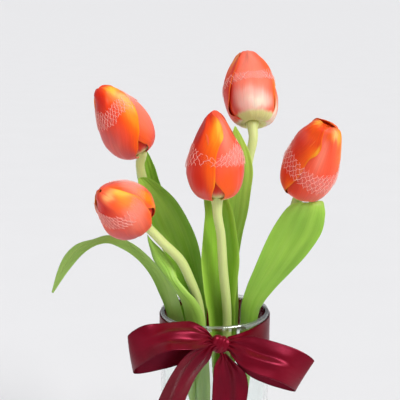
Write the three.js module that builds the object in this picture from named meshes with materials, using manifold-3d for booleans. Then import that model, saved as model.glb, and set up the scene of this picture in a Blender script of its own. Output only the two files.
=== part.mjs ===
// Five tulips standing in a straight glass cylinder vase tied with a satin ribbon bow.
// Millimetres, +Z up. The origin is the centre of the vase's flat bottom.
import * as THREE from 'three';
import Module from 'manifold-3d';

const wasm = await Module();
wasm.setup();

// ---- driving dimensions ----
const VASE = { outerRadius: 40, wall: 3, height: 200, base: 10, footRound: 2.2, facets: 32 };
const STEM_RADIUS = 3.3;          // just under the flower
const STEM_FOOT_RADIUS = 3.6;     // at the cut end
const STEM_SIDES = 8;
const STEM_STATIONS = 36;
const RECEPTACLE_RISE = 4;        // stem top above the petals' attachment
const PETAL_THICKNESS = 0.8;
const PETAL_SPIRAL = 1.0;         // one margin lies this far out, the other this far in
const INNER_WHORL_INSET = 2.9;
const LEAF_THICKNESS = 0.8;
const RIBBON_THICKNESS = 0.5;
const NET_CLEARANCE = 1.3;        // from the bloom's mean surface to the net sleeve
const NET_THICKNESS = 0.4;
const WRAP_RADIUS = 40.9;         // middle of the ribbon's thickness around the glass
// bloom outline on a bloom 40 mm across and 62 mm long: radius, height
const BLOOM_PROFILE = [[3.9, 0], [8, -1.6], [12, -0.4], [15.6, 3], [18.4, 9], [20, 18], [19.5, 26],
  [17.6, 34.5], [14.5, 42.5], [11, 49.8], [7.6, 56], [4.2, 62]];
// half the angle that a petal covers, along its length
const PETAL_SPREAD = [[0, 50], [0.12, 50], [0.3, 57], [0.5, 64], [0.65, 64], [0.8, 52], [0.9, 38], [1, 15]];
// where each petal stands around the bloom (degrees from the front, to the right positive) and how far
// its tip swings round from there
const BLOOMS = {
  a: { name: 'left_upper', outer: [[-54, 46], [66, -10], [186, 0]], inner: [[6, 8], [126, 0], [246, 0]], open: 1.5, net: [29, 42] },
  b: { name: 'left_lower', outer: [[-27, 6], [93, -10], [213, 0]], inner: [[33, 4], [153, 0], [273, 0]], open: 0.5, net: [19, 34] },
  c: { name: 'center', outer: [[-68, 70], [56, -30], [180, 0]], inner: [[-4, 6], [118, 0], [242, 0]], open: 0, net: [28, 44] },
  d: { name: 'top', outer: [[2, 0], [122, -4], [242, 4]], inner: [[62, 0], [182, 0], [302, 0]], open: 1.0, net: [29, 41] },
  e: { name: 'right', outer: [[-82, 50], [38, 4], [158, 0]], inner: [[-24, 6], [96, 0], [216, 0]], open: 2.6, net: [20, 36] },
};
const KNOT = { centre: [1.6, -47.6, 189.2], size: [5.2, 4.2, 6.0] };   // half-lengths
const STEM_PATHS = {
  a: [[-6.0, 6.0, 10.6], [-7.5, 7.4, 60.0], [-9.5, 8.6, 110.0], [-12.5, 9.4, 150.0], [-18.0, 10.5, 199.0], [-27.2, 11.0, 217.8], [-36.0, 11.0, 244.8], [-45.7, 10.8, 270.7], [-52.0, 10.2, 294.0], [-53.8, 9.6, 301.9], [-54.2, 8.8, 307.5], [-52.6, 7.3, 313.5], [-54.7, 6.0, 317.4]],
  b: [[-6.0, -8.0, 10.6], [-6.8, -8.6, 60.0], [-7.6, -9.6, 110.0], [-8.6, -11.0, 150.0], [-10.3, -14.2, 199.0], [-12.8, -16.5, 213.5], [-17.5, -19.5, 227.2], [-24.5, -23.0, 243.3], [-36.5, -27.4, 257.3], [-45.0, -28.2, 266.6], [-49.2, -33.0, 271.5], [-51.8, -36.0, 274.5]],
  c: [[4.0, -9.0, 10.6], [4.4, -9.8, 60.0], [5.4, -11.2, 110.0], [6.8, -12.8, 150.0], [8.8, -16.0, 199.0], [5.6, -22.0, 236.1], [3.7, -28.0, 263.5], [1.2, -32.3, 278.6], [0.9, -32.1, 286.6], [0.7, -32.0, 291.6]],
  d: [[6.0, 7.0, 10.6], [7.0, 7.6, 60.0], [8.4, 8.2, 110.0], [10.0, 9.4, 150.0], [11.6, 10.8, 199.0], [13.5, 12.0, 232.2], [19.8, 13.2, 271.7], [24.5, 14.6, 307.3], [28.0, 16.9, 324.3], [27.7, 21.3, 331.0], [27.5, 24.0, 335.2]],
  e: [[11.0, 1.0, 10.6], [13.4, 0.4, 60.0], [16.8, -1.0, 110.0], [21.0, -2.8, 150.0], [28.0, -6.4, 199.0], [34.4, -10.5, 219.1], [46.1, -16.0, 249.1], [55.2, -20.5, 270.7], [55.5, -23.0, 282.9], [57.5, -26.1, 290.0], [58.8, -28.0, 294.4]],
};
const BLOOM_SEATS = {
  a: { base: [-54.7, 6.0, 317.4], axis: [-0.45, -0.28, 0.848], length: 55, radius: 19.3 },
  b: { base: [-51.8, -36.0, 274.5], axis: [-0.519, -0.599, 0.609], length: 47, radius: 19.6 },
  c: { base: [0.7, -32.0, 291.6], axis: [-0.035, 0.02, 0.999], length: 58.8, radius: 20.1 },
  d: { base: [27.5, 24.0, 335.2], axis: [-0.035, 0.545, 0.838], length: 58.5, radius: 20.6 },
  e: { base: [58.8, -28.0, 294.4], axis: [0.25, -0.385, 0.888], length: 57, radius: 19.3 },
};
// each leaf station: left edge, right edge, depth of the cupped midrib from the chord
const LEAF_STATIONS = {
  l1: [
    [[-9.0, -4.9, 82.0], [-9.0, -14.3, 82.0], [-3.9, 0.0, 0.0]],
    [[-14.4, -4.3, 112.0], [-13.9, -12.2, 112.0], [-0.8, 0.2, 0.0]],
    [[-23.2, -4.6, 150.0], [-14.6, -12.4, 150.0], [-1.6, 2.0, 0.0]],
    [[-34.6, -4.2, 196.0], [-22.4, -14.6, 196.0], [-1.5, 4.0, 0.0]],
    [[-41.9, -8.0, 217.6], [-27.7, -17.0, 216.7], [0.0, 3.6, 1.0]],
    [[-46.3, -10.0, 228.0], [-34.7, -18.0, 229.7], [0.0, 3.4, 1.2]],
    [[-52.3, -12.0, 237.4], [-44.4, -18.0, 241.6], [0.0, 2.6, 1.4]],
    [[-59.8, -13.0, 244.9], [-55.3, -15.0, 251.2], [0.0, 1.5, 1.6]],
    [[-67.9, -14.0, 250.3], [-66.1, -12.0, 256.3], [0.0, 0.0, 2.0]],
    [[-76.4, -15.0, 253.8], [-77.2, -10.0, 258.1], [0.0, 0.0, 1.8]],
    [[-85.8, -16.0, 252.0], [-87.9, -9.0, 254.9], [0.6, 0.0, 1.5]],
    [[-94.7, -17.0, 246.0], [-98.8, -9.0, 252.0], [1.0, 0.0, 1.6]],
    [[-102.7, -18.0, 236.8], [-107.5, -10.0, 244.2], [1.0, 0.0, 1.2]],
    [[-109.3, -18.5, 227.6], [-113.0, -12.5, 232.9], [0.6, 0.0, 0.8]],
    [[-116.1, -17.0, 217.4], [-117.5, -15.6, 217.7], [0.0, 0.0, 0.1]],
  ],
  l2: [
    [[-11.0, -14.2, 108.0], [-4.2, -13.9, 108.0], [0.0, -2.2, 0.0]],
    [[-13.6, -15.8, 150.0], [-3.4, -17.0, 150.0], [0.0, -2.4, 0.0]],
    [[-20.8, -17.2, 196.0], [-7.0, -21.5, 196.0], [1.0, -3.0, 0.0]],
    [[-24.4, -19.0, 212.1], [-12.1, -24.2, 211.9], [-0.3, -2.4, 0.0]],
    [[-29.6, -20.5, 220.8], [-19.2, -25.2, 221.1], [-0.3, -2.0, -0.3]],
    [[-34.5, -21.5, 229.3], [-26.7, -23.2, 230.1], [-0.2, -1.9, -0.3]],
    [[-39.4, -22.5, 236.8], [-28.8, -19.4, 237.2], [0.0, -1.8, -0.3]],
    [[-43.6, -23.5, 243.8], [-33.2, -20.0, 244.6], [0.2, -1.8, -0.3]],
    [[-45.9, -25.0, 252.3], [-38.2, -22.9, 251.6], [0.2, -1.6, -0.3]],
    [[-47.1, -27.6, 259.1], [-43.8, -26.4, 258.2], [0.1, -0.8, -0.1]],
    [[-47.5, -28.6, 263.6], [-47.0, -28.6, 263.0], [0.0, -0.1, 0.0]],
  ],
  l3: [
    [[-14.2, 6.0, 104.0], [-4.7, 6.4, 104.0], [0.0, -3.9, 0.0]],
    [[-19.6, 4.6, 150.0], [-5.0, 3.4, 150.0], [0.4, -2.6, 0.0]],
    [[-25.6, 1.4, 196.0], [-6.0, -3.2, 196.0], [0.4, 4.0, 0.0]],
    [[-20.4, -2.0, 208.8], [-6.1, -8.0, 207.7], [0.0, 5.0, 0.0]],
    [[-26.1, -4.0, 223.2], [-8.5, -9.0, 224.7], [0.0, 5.6, 0.0]],
    [[-34.0, -5.5, 240.2], [-10.4, -9.5, 241.4], [0.0, 6.4, 0.0]],
    [[-41.0, -6.5, 255.5], [-14.0, -9.5, 256.2], [0.0, 7.0, 0.0]],
    [[-46.9, -7.0, 269.6], [-19.9, -8.5, 270.7], [0.0, 7.0, 0.0]],
    [[-51.3, -7.0, 282.1], [-27.9, -7.0, 283.2], [0.0, 6.2, 0.0]],
    [[-53.8, -6.5, 291.5], [-37.6, -6.0, 292.5], [0.0, 4.2, 0.0]],
    [[-54.7, -6.0, 297.2], [-46.9, -5.5, 298.8], [0.0, 1.8, 0.2]],
    [[-54.5, -5.6, 298.8], [-52.8, -5.4, 299.6], [0.0, 0.2, 0.1]],
  ],
  l4: [
    [[-35.8, 15.0, 234.5], [-28.5, 16.0, 231.1], [1.2, 2.0, 0.0]],
    [[-42.6, 15.4, 249.8], [-30.8, 17.0, 249.4], [0.6, 2.6, 0.0]],
    [[-49.5, 15.4, 269.6], [-33.7, 16.4, 270.9], [0.4, 3.2, 0.0]],
    [[-55.2, 14.6, 287.9], [-38.9, 15.2, 288.5], [0.2, 3.4, 0.0]],
    [[-57.2, 14.0, 298.5], [-42.3, 14.8, 299.1], [0.0, 3.2, 0.0]],
    [[-56.5, 14.0, 307.4], [-45.6, 15.4, 307.6], [0.0, 2.6, 0.0]],
    [[-54.6, 15.4, 313.8], [-48.9, 17.4, 313.9], [0.0, 1.4, 0.0]],
    [[-53.2, 19.4, 317.9], [-52.0, 19.8, 318.0], [0.0, 0.2, 0.0]],
  ],
  l5: [
    [[0.7, -10.4, 106.0], [9.9, -10.7, 106.0], [0.0, 5.0, 0.0]],
    [[-1.2, -11.8, 150.0], [13.2, -12.4, 150.0], [0.2, 4.6, 0.0]],
    [[-4.4, -13.4, 196.0], [14.6, -14.4, 196.0], [0.6, 4.4, 0.0]],
    [[-6.5, -15.5, 208.7], [14.4, -17.0, 209.2], [0.0, 5.6, 0.0]],
    [[-8.4, -17.5, 222.8], [15.6, -19.0, 223.3], [0.0, 6.4, 0.0]],
    [[-9.7, -19.0, 238.1], [16.8, -21.0, 238.0], [0.0, 7.4, 0.0]],
    [[-9.4, -20.0, 250.2], [16.4, -21.5, 250.6], [0.0, 8.0, 0.0]],
    [[-8.5, -20.0, 264.8], [14.8, -20.5, 264.9], [0.0, 8.0, 0.0]],
    [[-7.6, -18.0, 275.8], [12.7, -17.5, 276.5], [0.0, 7.4, 0.0]],
    [[-8.1, -12.5, 284.7], [9.3, -12.0, 285.0], [0.0, 6.0, 0.0]],
    [[-6.7, -5.5, 293.4], [5.7, -5.0, 293.7], [0.0, 3.4, 0.0]],
    [[-2.7, -1.4, 302.8], [-1.1, -1.3, 302.9], [0.0, 0.3, 0.0]],
  ],
  l6: [
    [[3.8, 6.2, 112.0], [13.0, 6.4, 112.0], [0.0, -3.8, 0.0]],
    [[4.6, 4.8, 150.0], [15.2, 5.2, 150.0], [0.0, -1.9, 0.0]],
    [[5.0, 3.6, 196.0], [17.6, 4.2, 196.0], [0.0, -1.2, 0.0]],
    [[3.2, 2.6, 213.5], [17.3, 4.0, 211.5], [0.0, -0.6, 0.0]],
    [[3.6, 1.8, 235.2], [17.4, 3.6, 234.6], [0.0, 1.4, 0.0]],
    [[5.2, 0.8, 255.1], [20.0, 3.2, 254.8], [0.0, 1.6, 0.0]],
    [[7.3, 0.2, 273.1], [23.9, 3.0, 272.9], [0.0, 1.4, 0.0]],
    [[8.3, 0.0, 289.4], [26.0, 2.8, 288.8], [0.0, 1.2, 0.0]],
    [[8.8, 0.0, 304.0], [27.3, 2.6, 302.8], [0.0, 1.2, 0.0]],
    [[9.5, 0.0, 315.6], [24.8, 2.2, 315.2], [0.0, 1.0, 0.0]],
    [[10.8, -0.2, 325.7], [20.1, 1.8, 325.8], [0.0, 0.6, 0.0]],
    [[13.6, 0.0, 335.3], [14.7, 0.4, 335.3], [0.0, 0.1, 0.0]],
  ],
  l7: [
    [[13.4, -5.4, 108.0], [20.8, -4.6, 108.0], [0.2, -1.8, 0.0]],
    [[16.2, -8.8, 150.0], [26.4, -6.4, 150.0], [0.4, -2.6, 0.0]],
    [[18.4, -15.2, 196.0], [30.8, -13.4, 196.0], [0.0, -3.2, 0.0]],
    [[19.1, -17.5, 209.3], [34.3, -18.0, 209.5], [0.0, -2.0, 0.0]],
    [[22.2, -20.0, 222.1], [43.0, -21.0, 222.5], [0.0, -0.4, 0.0]],
    [[26.2, -22.5, 234.0], [52.9, -23.0, 234.2], [0.0, 0.8, 0.0]],
    [[31.4, -25.5, 248.8], [64.2, -27.5, 249.3], [0.0, 1.4, 0.0]],
    [[38.1, -29.0, 265.2], [73.0, -31.5, 265.1], [0.0, 0.6, 0.0]],
    [[44.4, -32.5, 277.4], [75.1, -34.0, 278.1], [0.0, -1.4, 0.0]],
    [[49.8, -34.5, 285.0], [74.7, -33.5, 284.7], [0.0, -2.6, 0.0]],
    [[54.7, -35.6, 287.5], [73.1, -31.5, 288.0], [0.0, -2.0, 0.0]],
    [[61.5, -36.0, 287.4], [67.1, -35.0, 287.6], [0.0, -0.2, 0.0]],
  ],
};
// each ribbon station: middle of the strip, direction across it, width
const RIBBON_STATIONS = {
  loop_left: [
    [[-5.3, -51.0, 196.8], [0.15, -0.301, -0.942], 9.5],
    [[-10.1, -54.0, 199.0], [0.1, -0.55, -0.829], 17.0],
    [[-17.6, -56.8, 201.0], [0.05, -0.701, -0.711], 23.5],
    [[-29.1, -59.0, 201.2], [0.02, -0.76, -0.65], 25],
    [[-39.3, -59.5, 198.8], [0.0, -0.702, -0.712], 25],
    [[-48.5, -58.5, 194.8], [0.06, -0.521, -0.851], 25],
    [[-55.5, -55.8, 189.5], [0.1, -0.338, -0.936], 25],
    [[-58.6, -52.2, 184.7], [0.15, -0.18, -0.972], 25],
    [[-57.1, -48.6, 181.6], [0.12, -0.05, -0.991], 25],
    [[-50.4, -46.4, 181.0], [0.05, 0.0, -0.999], 25],
    [[-40.0, -45.2, 182.6], [-0.02, 0.0, -1.0], 25],
    [[-28.9, -44.8, 185.2], [-0.06, 0.0, -0.998], 25],
    [[-17.7, -45.4, 188.4], [-0.08, 0.0, -0.997], 22],
    [[-8.7, -46.6, 191.5], [-0.08, 0.0, -0.997], 12],
  ],
  loop_right: [
    [[10.5, -51.0, 191.0], [-0.291, -0.291, -0.911], 9.5],
    [[15.6, -54.4, 189.7], [-0.284, -0.457, -0.843], 17.0],
    [[22.6, -57.2, 188.0], [-0.263, -0.526, -0.809], 23.0],
    [[32.1, -59.0, 185.2], [-0.282, -0.523, -0.805], 25],
    [[42.4, -59.2, 182.0], [-0.342, -0.483, -0.806], 25],
    [[51.4, -58.0, 177.9], [-0.421, -0.361, -0.832], 25],
    [[58.2, -55.4, 173.0], [-0.486, -0.202, -0.85], 25],
    [[61.7, -51.8, 168.6], [-0.506, -0.061, -0.86], 25],
    [[59.8, -48.4, 166.7], [-0.487, 0.0, -0.873], 25],
    [[51.3, -46.2, 168.2], [-0.406, 0.02, -0.914], 25],
    [[40.9, -45.4, 171.4], [-0.364, 0.02, -0.931], 25],
    [[29.6, -45.4, 176.3], [-0.399, 0.02, -0.917], 24],
    [[19.8, -46.0, 182.4], [-0.447, 0.0, -0.894], 18],
    [[13.1, -46.8, 188.2], [-0.447, 0.0, -0.894], 10],
  ],
  tail_left: [
    [[-5.3, -54.5, 190.9], [0.622, -0.602, -0.501], 8],
    [[-10.8, -56.0, 185.6], [0.741, -0.601, -0.3], 17],
    [[-17.3, -55.2, 177.3], [0.641, -0.722, 0.261], 24],
    [[-22.8, -54.6, 168.3], [0.601, -0.741, 0.3], 25],
    [[-27.7, -54.0, 157.7], [0.601, -0.741, 0.3], 25],
    [[-31.7, -53.4, 147.0], [0.641, -0.722, 0.261], 25],
    [[-34.8, -53.0, 134.8], [0.7, -0.68, 0.22], 25],
    [[-37.5, -53.2, 121.3], [0.78, -0.6, 0.18], 25],
    [[-38.9, -54.0, 108.0], [0.842, -0.521, 0.14], 25],
    [[-39.4, -55.6, 96.6], [0.882, -0.461, 0.1], 25],
  ],
  tail_right: [
    [[6.9, -50.4, 181.6], [0.959, -0.2, -0.2], 8],
    [[8.6, -50.8, 176.6], [0.97, -0.222, -0.101], 17],
    [[9.8, -51.4, 171.4], [0.981, -0.182, -0.061], 22.5],
    [[10.3, -51.8, 161.9], [0.975, -0.221, -0.02], 25],
    [[9.5, -52.4, 151.0], [0.958, -0.279, 0.06], 25],
    [[8.5, -52.0, 138.9], [0.936, -0.338, 0.1], 25],
    [[8.1, -52.2, 125.4], [0.921, -0.381, 0.08], 25],
    [[9.2, -53.0, 112.1], [0.915, -0.402, 0.04], 25],
    [[11.1, -54.2, 98.9], [0.906, -0.423, 0.0], 25],
    [[13.3, -56.0, 87.5], [0.905, -0.423, -0.04], 25],
  ],
};
const LEAF_NAMES = { l1: 'leaf_far_left_arching', l2: 'leaf_left_clasping', l3: 'leaf_left_broad', l4: 'leaf_upper_left',
  l5: 'leaf_center_cupped', l6: 'leaf_top', l7: 'leaf_right_broad' };

// ---- finishes ----
const MATERIALS = {
  petalOuter: { color: '#f0694f', roughness: 0.5, metalness: 0 },
  petalInner: { color: '#e2431f', roughness: 0.5, metalness: 0 },
  stem: { color: '#b9cf7c', roughness: 0.45, metalness: 0 },
  leaf: { color: '#6fa23c', roughness: 0.42, metalness: 0 },
  pistil: { color: '#c9cc62', roughness: 0.6, metalness: 0 },
  glass: { color: '#e9f1ef', roughness: 0.03, metalness: 0, transparent: true, opacity: 0.25, side: THREE.DoubleSide },
  ribbon: { color: '#7d0d24', roughness: 0.35, metalness: 0 },
  net: { color: '#f6e9e6', roughness: 0.7, metalness: 0 },
};

const V = (a) => new THREE.Vector3(a[0], a[1], a[2]);
const DEG = Math.PI / 180;

function lookup(table, t) {
  if (t <= table[0][0]) return table[0][1];
  for (let i = 1; i < table.length; i++) {
    if (t <= table[i][0]) {
      const f = (t - table[i - 1][0]) / (table[i][0] - table[i - 1][0]);
      return table[i - 1][1] + f * (table[i][1] - table[i - 1][1]);
    }
  }
  return table[table.length - 1][1];
}
const smooth = (x) => { const c = Math.min(1, Math.max(0, x)); return c * c * (3 - 2 * c); };

// Closed triangle mesh from indexed corners, turned so that its faces look outwards.
function closedGeometry(points, faces) {
  let volume = 0;
  for (const [a, b, c] of faces) volume += points[a].dot(new THREE.Vector3().crossVectors(points[b], points[c]));
  const list = volume < 0 ? faces.map(([a, b, c]) => [a, c, b]) : faces;
  const geometry = new THREE.BufferGeometry();
  geometry.setAttribute('position', new THREE.Float32BufferAttribute(points.flatMap((p) => [p.x, p.y, p.z]), 3));
  geometry.setIndex(list.flat());
  geometry.computeVertexNormals();
  return geometry;
}

// Thin solid between two matching grids of points.
function shellGeometry(front, back) {
  const rows = front.length, cols = front[0].length, points = [], faces = [];
  for (const grid of [front, back]) for (const row of grid) for (const p of row) points.push(p);
  const F = (i, j) => i * cols + j, K = (i, j) => rows * cols + i * cols + j;
  for (let i = 0; i < rows - 1; i++) for (let j = 0; j < cols - 1; j++) {
    faces.push([F(i, j), F(i, j + 1), F(i + 1, j + 1)], [F(i, j), F(i + 1, j + 1), F(i + 1, j)]);
    faces.push([K(i, j), K(i + 1, j + 1), K(i, j + 1)], [K(i, j), K(i + 1, j), K(i + 1, j + 1)]);
  }
  for (let i = 0; i < rows - 1; i++) {
    faces.push([F(i, 0), F(i + 1, 0), K(i, 0)], [F(i + 1, 0), K(i + 1, 0), K(i, 0)]);
    faces.push([F(i, cols - 1), K(i, cols - 1), F(i + 1, cols - 1)], [F(i + 1, cols - 1), K(i, cols - 1), K(i + 1, cols - 1)]);
  }
  for (let j = 0; j < cols - 1; j++) {
    faces.push([F(0, j), K(0, j), F(0, j + 1)], [F(0, j + 1), K(0, j), K(0, j + 1)]);
    faces.push([F(rows - 1, j), F(rows - 1, j + 1), K(rows - 1, j)], [F(rows - 1, j + 1), K(rows - 1, j + 1), K(rows - 1, j)]);
  }
  return closedGeometry(points, faces);
}

// Both faces of a sheet of the given thickness, laid either side of a grid of middle points.
function thicken(grid, thickness) {
  const rows = grid.length, cols = grid[0].length;
  const front = [], back = [];
  for (let i = 0; i < rows; i++) {
    front.push([]); back.push([]);
    for (let j = 0; j < cols; j++) {
      const along = grid[Math.min(rows - 1, i + 1)][j].clone().sub(grid[Math.max(0, i - 1)][j]);
      const across = grid[i][Math.min(cols - 1, j + 1)].clone().sub(grid[i][Math.max(0, j - 1)]);
      const n = new THREE.Vector3().crossVectors(across, along).normalize().multiplyScalar(thickness / 2);
      front[i].push(grid[i][j].clone().add(n));
      back[i].push(grid[i][j].clone().sub(n));
    }
  }
  return shellGeometry(front, back);
}

// Round stem along a smooth path, with a radius for each station.
function stemGeometry(path, radii, sides, flatFoot = false) {
  const points = [], faces = [];
  let across = new THREE.Vector3(1, 0, 0);
  for (let i = 0; i < path.length; i++) {
    const tangent = path[Math.min(path.length - 1, i + 1)].clone().sub(path[Math.max(0, i - 1)]).normalize();
    if (i === 0 && flatFoot) tangent.set(0, 0, 1);
    across = across.clone().sub(tangent.clone().multiplyScalar(across.dot(tangent))).normalize();
    const other = new THREE.Vector3().crossVectors(tangent, across);
    for (let k = 0; k < sides; k++) {
      const w = (k / sides) * 2 * Math.PI;
      points.push(path[i].clone().add(across.clone().multiplyScalar(radii[i] * Math.cos(w))).add(other.clone().multiplyScalar(radii[i] * Math.sin(w))));
    }
  }
  for (let i = 0; i < path.length - 1; i++) for (let k = 0; k < sides; k++) {
    const a = i * sides + k, b = i * sides + (k + 1) % sides;
    faces.push([a, b, b + sides], [a, b + sides, a + sides]);
  }
  const foot = points.push(path[0].clone()) - 1, top = points.push(path[path.length - 1].clone()) - 1;
  const last = (path.length - 1) * sides;
  for (let k = 0; k < sides; k++) {
    faces.push([foot, (k + 1) % sides, k], [top, last + k, last + (k + 1) % sides]);
  }
  return closedGeometry(points, faces);
}

function curveThrough(points, count) {
  return new THREE.CatmullRomCurve3(points, false, 'centripetal').getSpacedPoints(count);
}

// Frame of a bloom: base, axis, the side that faces the front and the side to the right of it.
function bloomFrame(seat) {
  const axis = V(seat.axis).normalize();
  const front = new THREE.Vector3(0, -1, 0);
  front.sub(axis.clone().multiplyScalar(front.dot(axis))).normalize();
  return { base: V(seat.base), axis, front, right: new THREE.Vector3().crossVectors(axis, front), wide: seat.radius / 20, tall: seat.length / 62 };
}

// Radius, height and outward normal of the bloom's outline at t from 0 (stem) to 1 (tip).
function outlineAt(frame, open, t) {
  const n = BLOOM_PROFILE.length - 1;
  const at = (u) => {
    const x = Math.min(n - 1e-9, Math.max(0, u)), i = Math.floor(x), f = x - i;
    const p1 = BLOOM_PROFILE[i], p2 = BLOOM_PROFILE[i + 1];
    const p0 = BLOOM_PROFILE[i - 1] || [2 * p1[0] - p2[0], 2 * p1[1] - p2[1]];
    const p3 = BLOOM_PROFILE[i + 2] || [2 * p2[0] - p1[0], 2 * p2[1] - p1[1]];
    const mix = (c) => 0.5 * (2 * p1[c] + (-p0[c] + p2[c]) * f + (2 * p0[c] - 5 * p1[c] + 4 * p2[c] - p3[c]) * f * f + (-p0[c] + 3 * p1[c] - 3 * p2[c] + p3[c]) * f * f * f);
    return [mix(0) * (u < 0.8 ? 1 : frame.wide) + open * smooth((u / n - 0.55) / 0.45), mix(1) * frame.tall];
  };
  const [r, z] = at(t * n), [ra, za] = at(Math.max(0, t * n - 0.15)), [rb, zb] = at(Math.min(n, t * n + 0.15));
  const dr = rb - ra, dz = zb - za, len = Math.hypot(dr, dz);
  return { r, z, nr: dz / len, nz: -dr / len };
}

function placeOnBloom(frame, angle, r, z) {
  return frame.base.clone().add(frame.axis.clone().multiplyScalar(z))
    .add(frame.front.clone().multiplyScalar(r * Math.cos(angle))).add(frame.right.clone().multiplyScalar(r * Math.sin(angle)));
}

function petalGeometry(frame, spec, open, inner) {
  const [centre, swing] = spec;
  const cols = inner ? 5 : 6, rows = inner ? 7 : 8, tTop = inner ? 0.93 : 1;
  const faces = [0, PETAL_THICKNESS].map((depth) => {
    const grid = [];
    for (let i = 0; i <= rows; i++) {
      const t = tTop * Math.pow(i / rows, 0.9);
      const o = outlineAt(frame, open, t);
      const inset = depth * (1 - 0.25 * t) + (inner ? INNER_WHORL_INSET + 0.5 * smooth((t - 0.6) / 0.4) : 0);
      const half = lookup(PETAL_SPREAD, inner ? t / tTop : t) * (inner ? 0.96 : 1);
      const turn = swing * t * t * t;
      const row = [];
      for (let j = 0; j <= cols; j++) {
        const s = (2 * j) / cols - 1;
        const radius = o.r - o.nr * inset + PETAL_SPIRAL * s * smooth(t / 0.12);
        row.push(placeOnBloom(frame, (centre + turn + s * half) * DEG, radius, o.z - o.nz * inset));
      }
      grid.push(row);
    }
    return grid;
  });
  return shellGeometry(faces[0], faces[1]);
}

// Pistil with its three-lobed stigma, and six stamens, on the end of the stem.
function pistilGeometry(frame) {
  const solid = (geometry) => {
    const position = geometry.attributes.position;
    const mesh = new wasm.Mesh({ numProp: 3, vertProperties: new Float32Array(position.array), triVerts: new Uint32Array(geometry.index.array) });
    return new wasm.Manifold(mesh);
  };
  const seat = RECEPTACLE_RISE + 0.35;
  const at = (angle, r, z) => placeOnBloom(frame, angle, r, z);
  const up = (r, angle, zs, rs, sides) => solid(stemGeometry(zs.map((z, i) => at(angle, r[i], z)), rs, sides));
  let body = up([0, 0, 0, 0], 0, [seat, seat + 1.2, seat + 15, seat + 18], [3.0, 2.3, 2.3, 3.1], 6);
  for (let k = 0; k < 6; k++) {
    const a = (k * 60 + 30) * DEG;
    body = body.add(up([2.1, 4.8, 5.3], a, [seat + 0.3, seat + 7, seat + 15], [0.7, 1.1, 0.9], 4));
  }
  const mesh = body.getMesh();
  const points = [];
  for (let i = 0; i < mesh.vertProperties.length; i += mesh.numProp) points.push(new THREE.Vector3(mesh.vertProperties[i], mesh.vertProperties[i + 1], mesh.vertProperties[i + 2]));
  const faces = [];
  for (let i = 0; i < mesh.triVerts.length; i += 3) faces.push([mesh.triVerts[i], mesh.triVerts[i + 1], mesh.triVerts[i + 2]]);
  return closedGeometry(points, faces);
}

// Sleeve of net around the middle of a bloom.
function netGeometry(frame, open, span) {
  const sides = 20, levels = 3;
  const radiusAt = (z) => {
    let best = null;
    for (let t = 0.2; t <= 1; t += 0.004) {
      const o = outlineAt(frame, open, t);
      if (!best || Math.abs(o.z - z) < best[0]) best = [Math.abs(o.z - z), o.r / Math.cos(Math.PI / sides)];
    }
    return best[1] + NET_CLEARANCE;
  };
  const points = [], faces = [];
  const ring = (z, grow) => {
    const start = points.length;
    for (let k = 0; k < sides; k++) points.push(placeOnBloom(frame, (k / sides) * 2 * Math.PI, radiusAt(z) + grow, z));
    return start;
  };
  const zs = Array.from({ length: levels }, (_, i) => span[0] + ((span[1] - span[0]) * i) / (levels - 1));
  const rings = [...zs.map((z) => ring(z, NET_THICKNESS)), ...zs.slice().reverse().map((z) => ring(z, 0))];
  rings.forEach((a, i) => {
    const b = rings[(i + 1) % rings.length];
    for (let k = 0; k < sides; k++) {
      const n = (k + 1) % sides;
      faces.push([a + k, a + n, b + n], [a + k, b + n, b + k]);
    }
  });
  return closedGeometry(points, faces);
}

function leafGeometry(stations) {
  const cols = 4, rows = Math.max(8, Math.round(stations.length * 1.0));
  const lefts = curveAt(stations.map((s) => V(s[0])), rows), rights = curveAt(stations.map((s) => V(s[1])), rows), cups = curveAt(stations.map((s) => V(s[2])), rows);
  const grid = lefts.map((left, i) => {
    const row = [];
    for (let j = 0; j <= cols; j++) {
      const q = j / cols;
      row.push(left.clone().lerp(rights[i], q).add(cups[i].clone().multiplyScalar(4 * q * (1 - q))));
    }
    return row;
  });
  return thicken(grid, LEAF_THICKNESS);
}

// Catmull-Rom through the stations, sampled evenly by station number.
function curveAt(points, count) {
  const out = [], n = points.length - 1;
  for (let k = 0; k <= count; k++) {
    const x = Math.min(n - 1e-9, (k / count) * n), i = Math.floor(x), f = x - i;
    const p1 = points[i], p2 = points[i + 1];
    const p0 = points[i - 1] || p1.clone().multiplyScalar(2).sub(p2), p3 = points[i + 2] || p2.clone().multiplyScalar(2).sub(p1);
    const mix = (c) => 0.5 * (2 * p1[c] + (-p0[c] + p2[c]) * f + (2 * p0[c] - 5 * p1[c] + 4 * p2[c] - p3[c]) * f * f + (-p0[c] + 3 * p1[c] - 3 * p2[c] + p3[c]) * f * f * f);
    out.push(new THREE.Vector3(mix('x'), mix('y'), mix('z')));
  }
  return out;
}

function ribbonGeometry(stations, count) {
  const mids = curveAt(stations.map((s) => V(s[0])), count);
  const across = curveAt(stations.map((s) => V(s[1])), count);
  const widths = curveAt(stations.map((s) => new THREE.Vector3(s[2], 0, 0)), count);
  const grid = mids.map((m, i) => {
    const half = across[i].clone().normalize().multiplyScalar(widths[i].x / 2);
    return [m.clone().sub(half), m.clone(), m.clone().add(half)];
  });
  return thicken(grid, RIBBON_THICKNESS);
}

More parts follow.
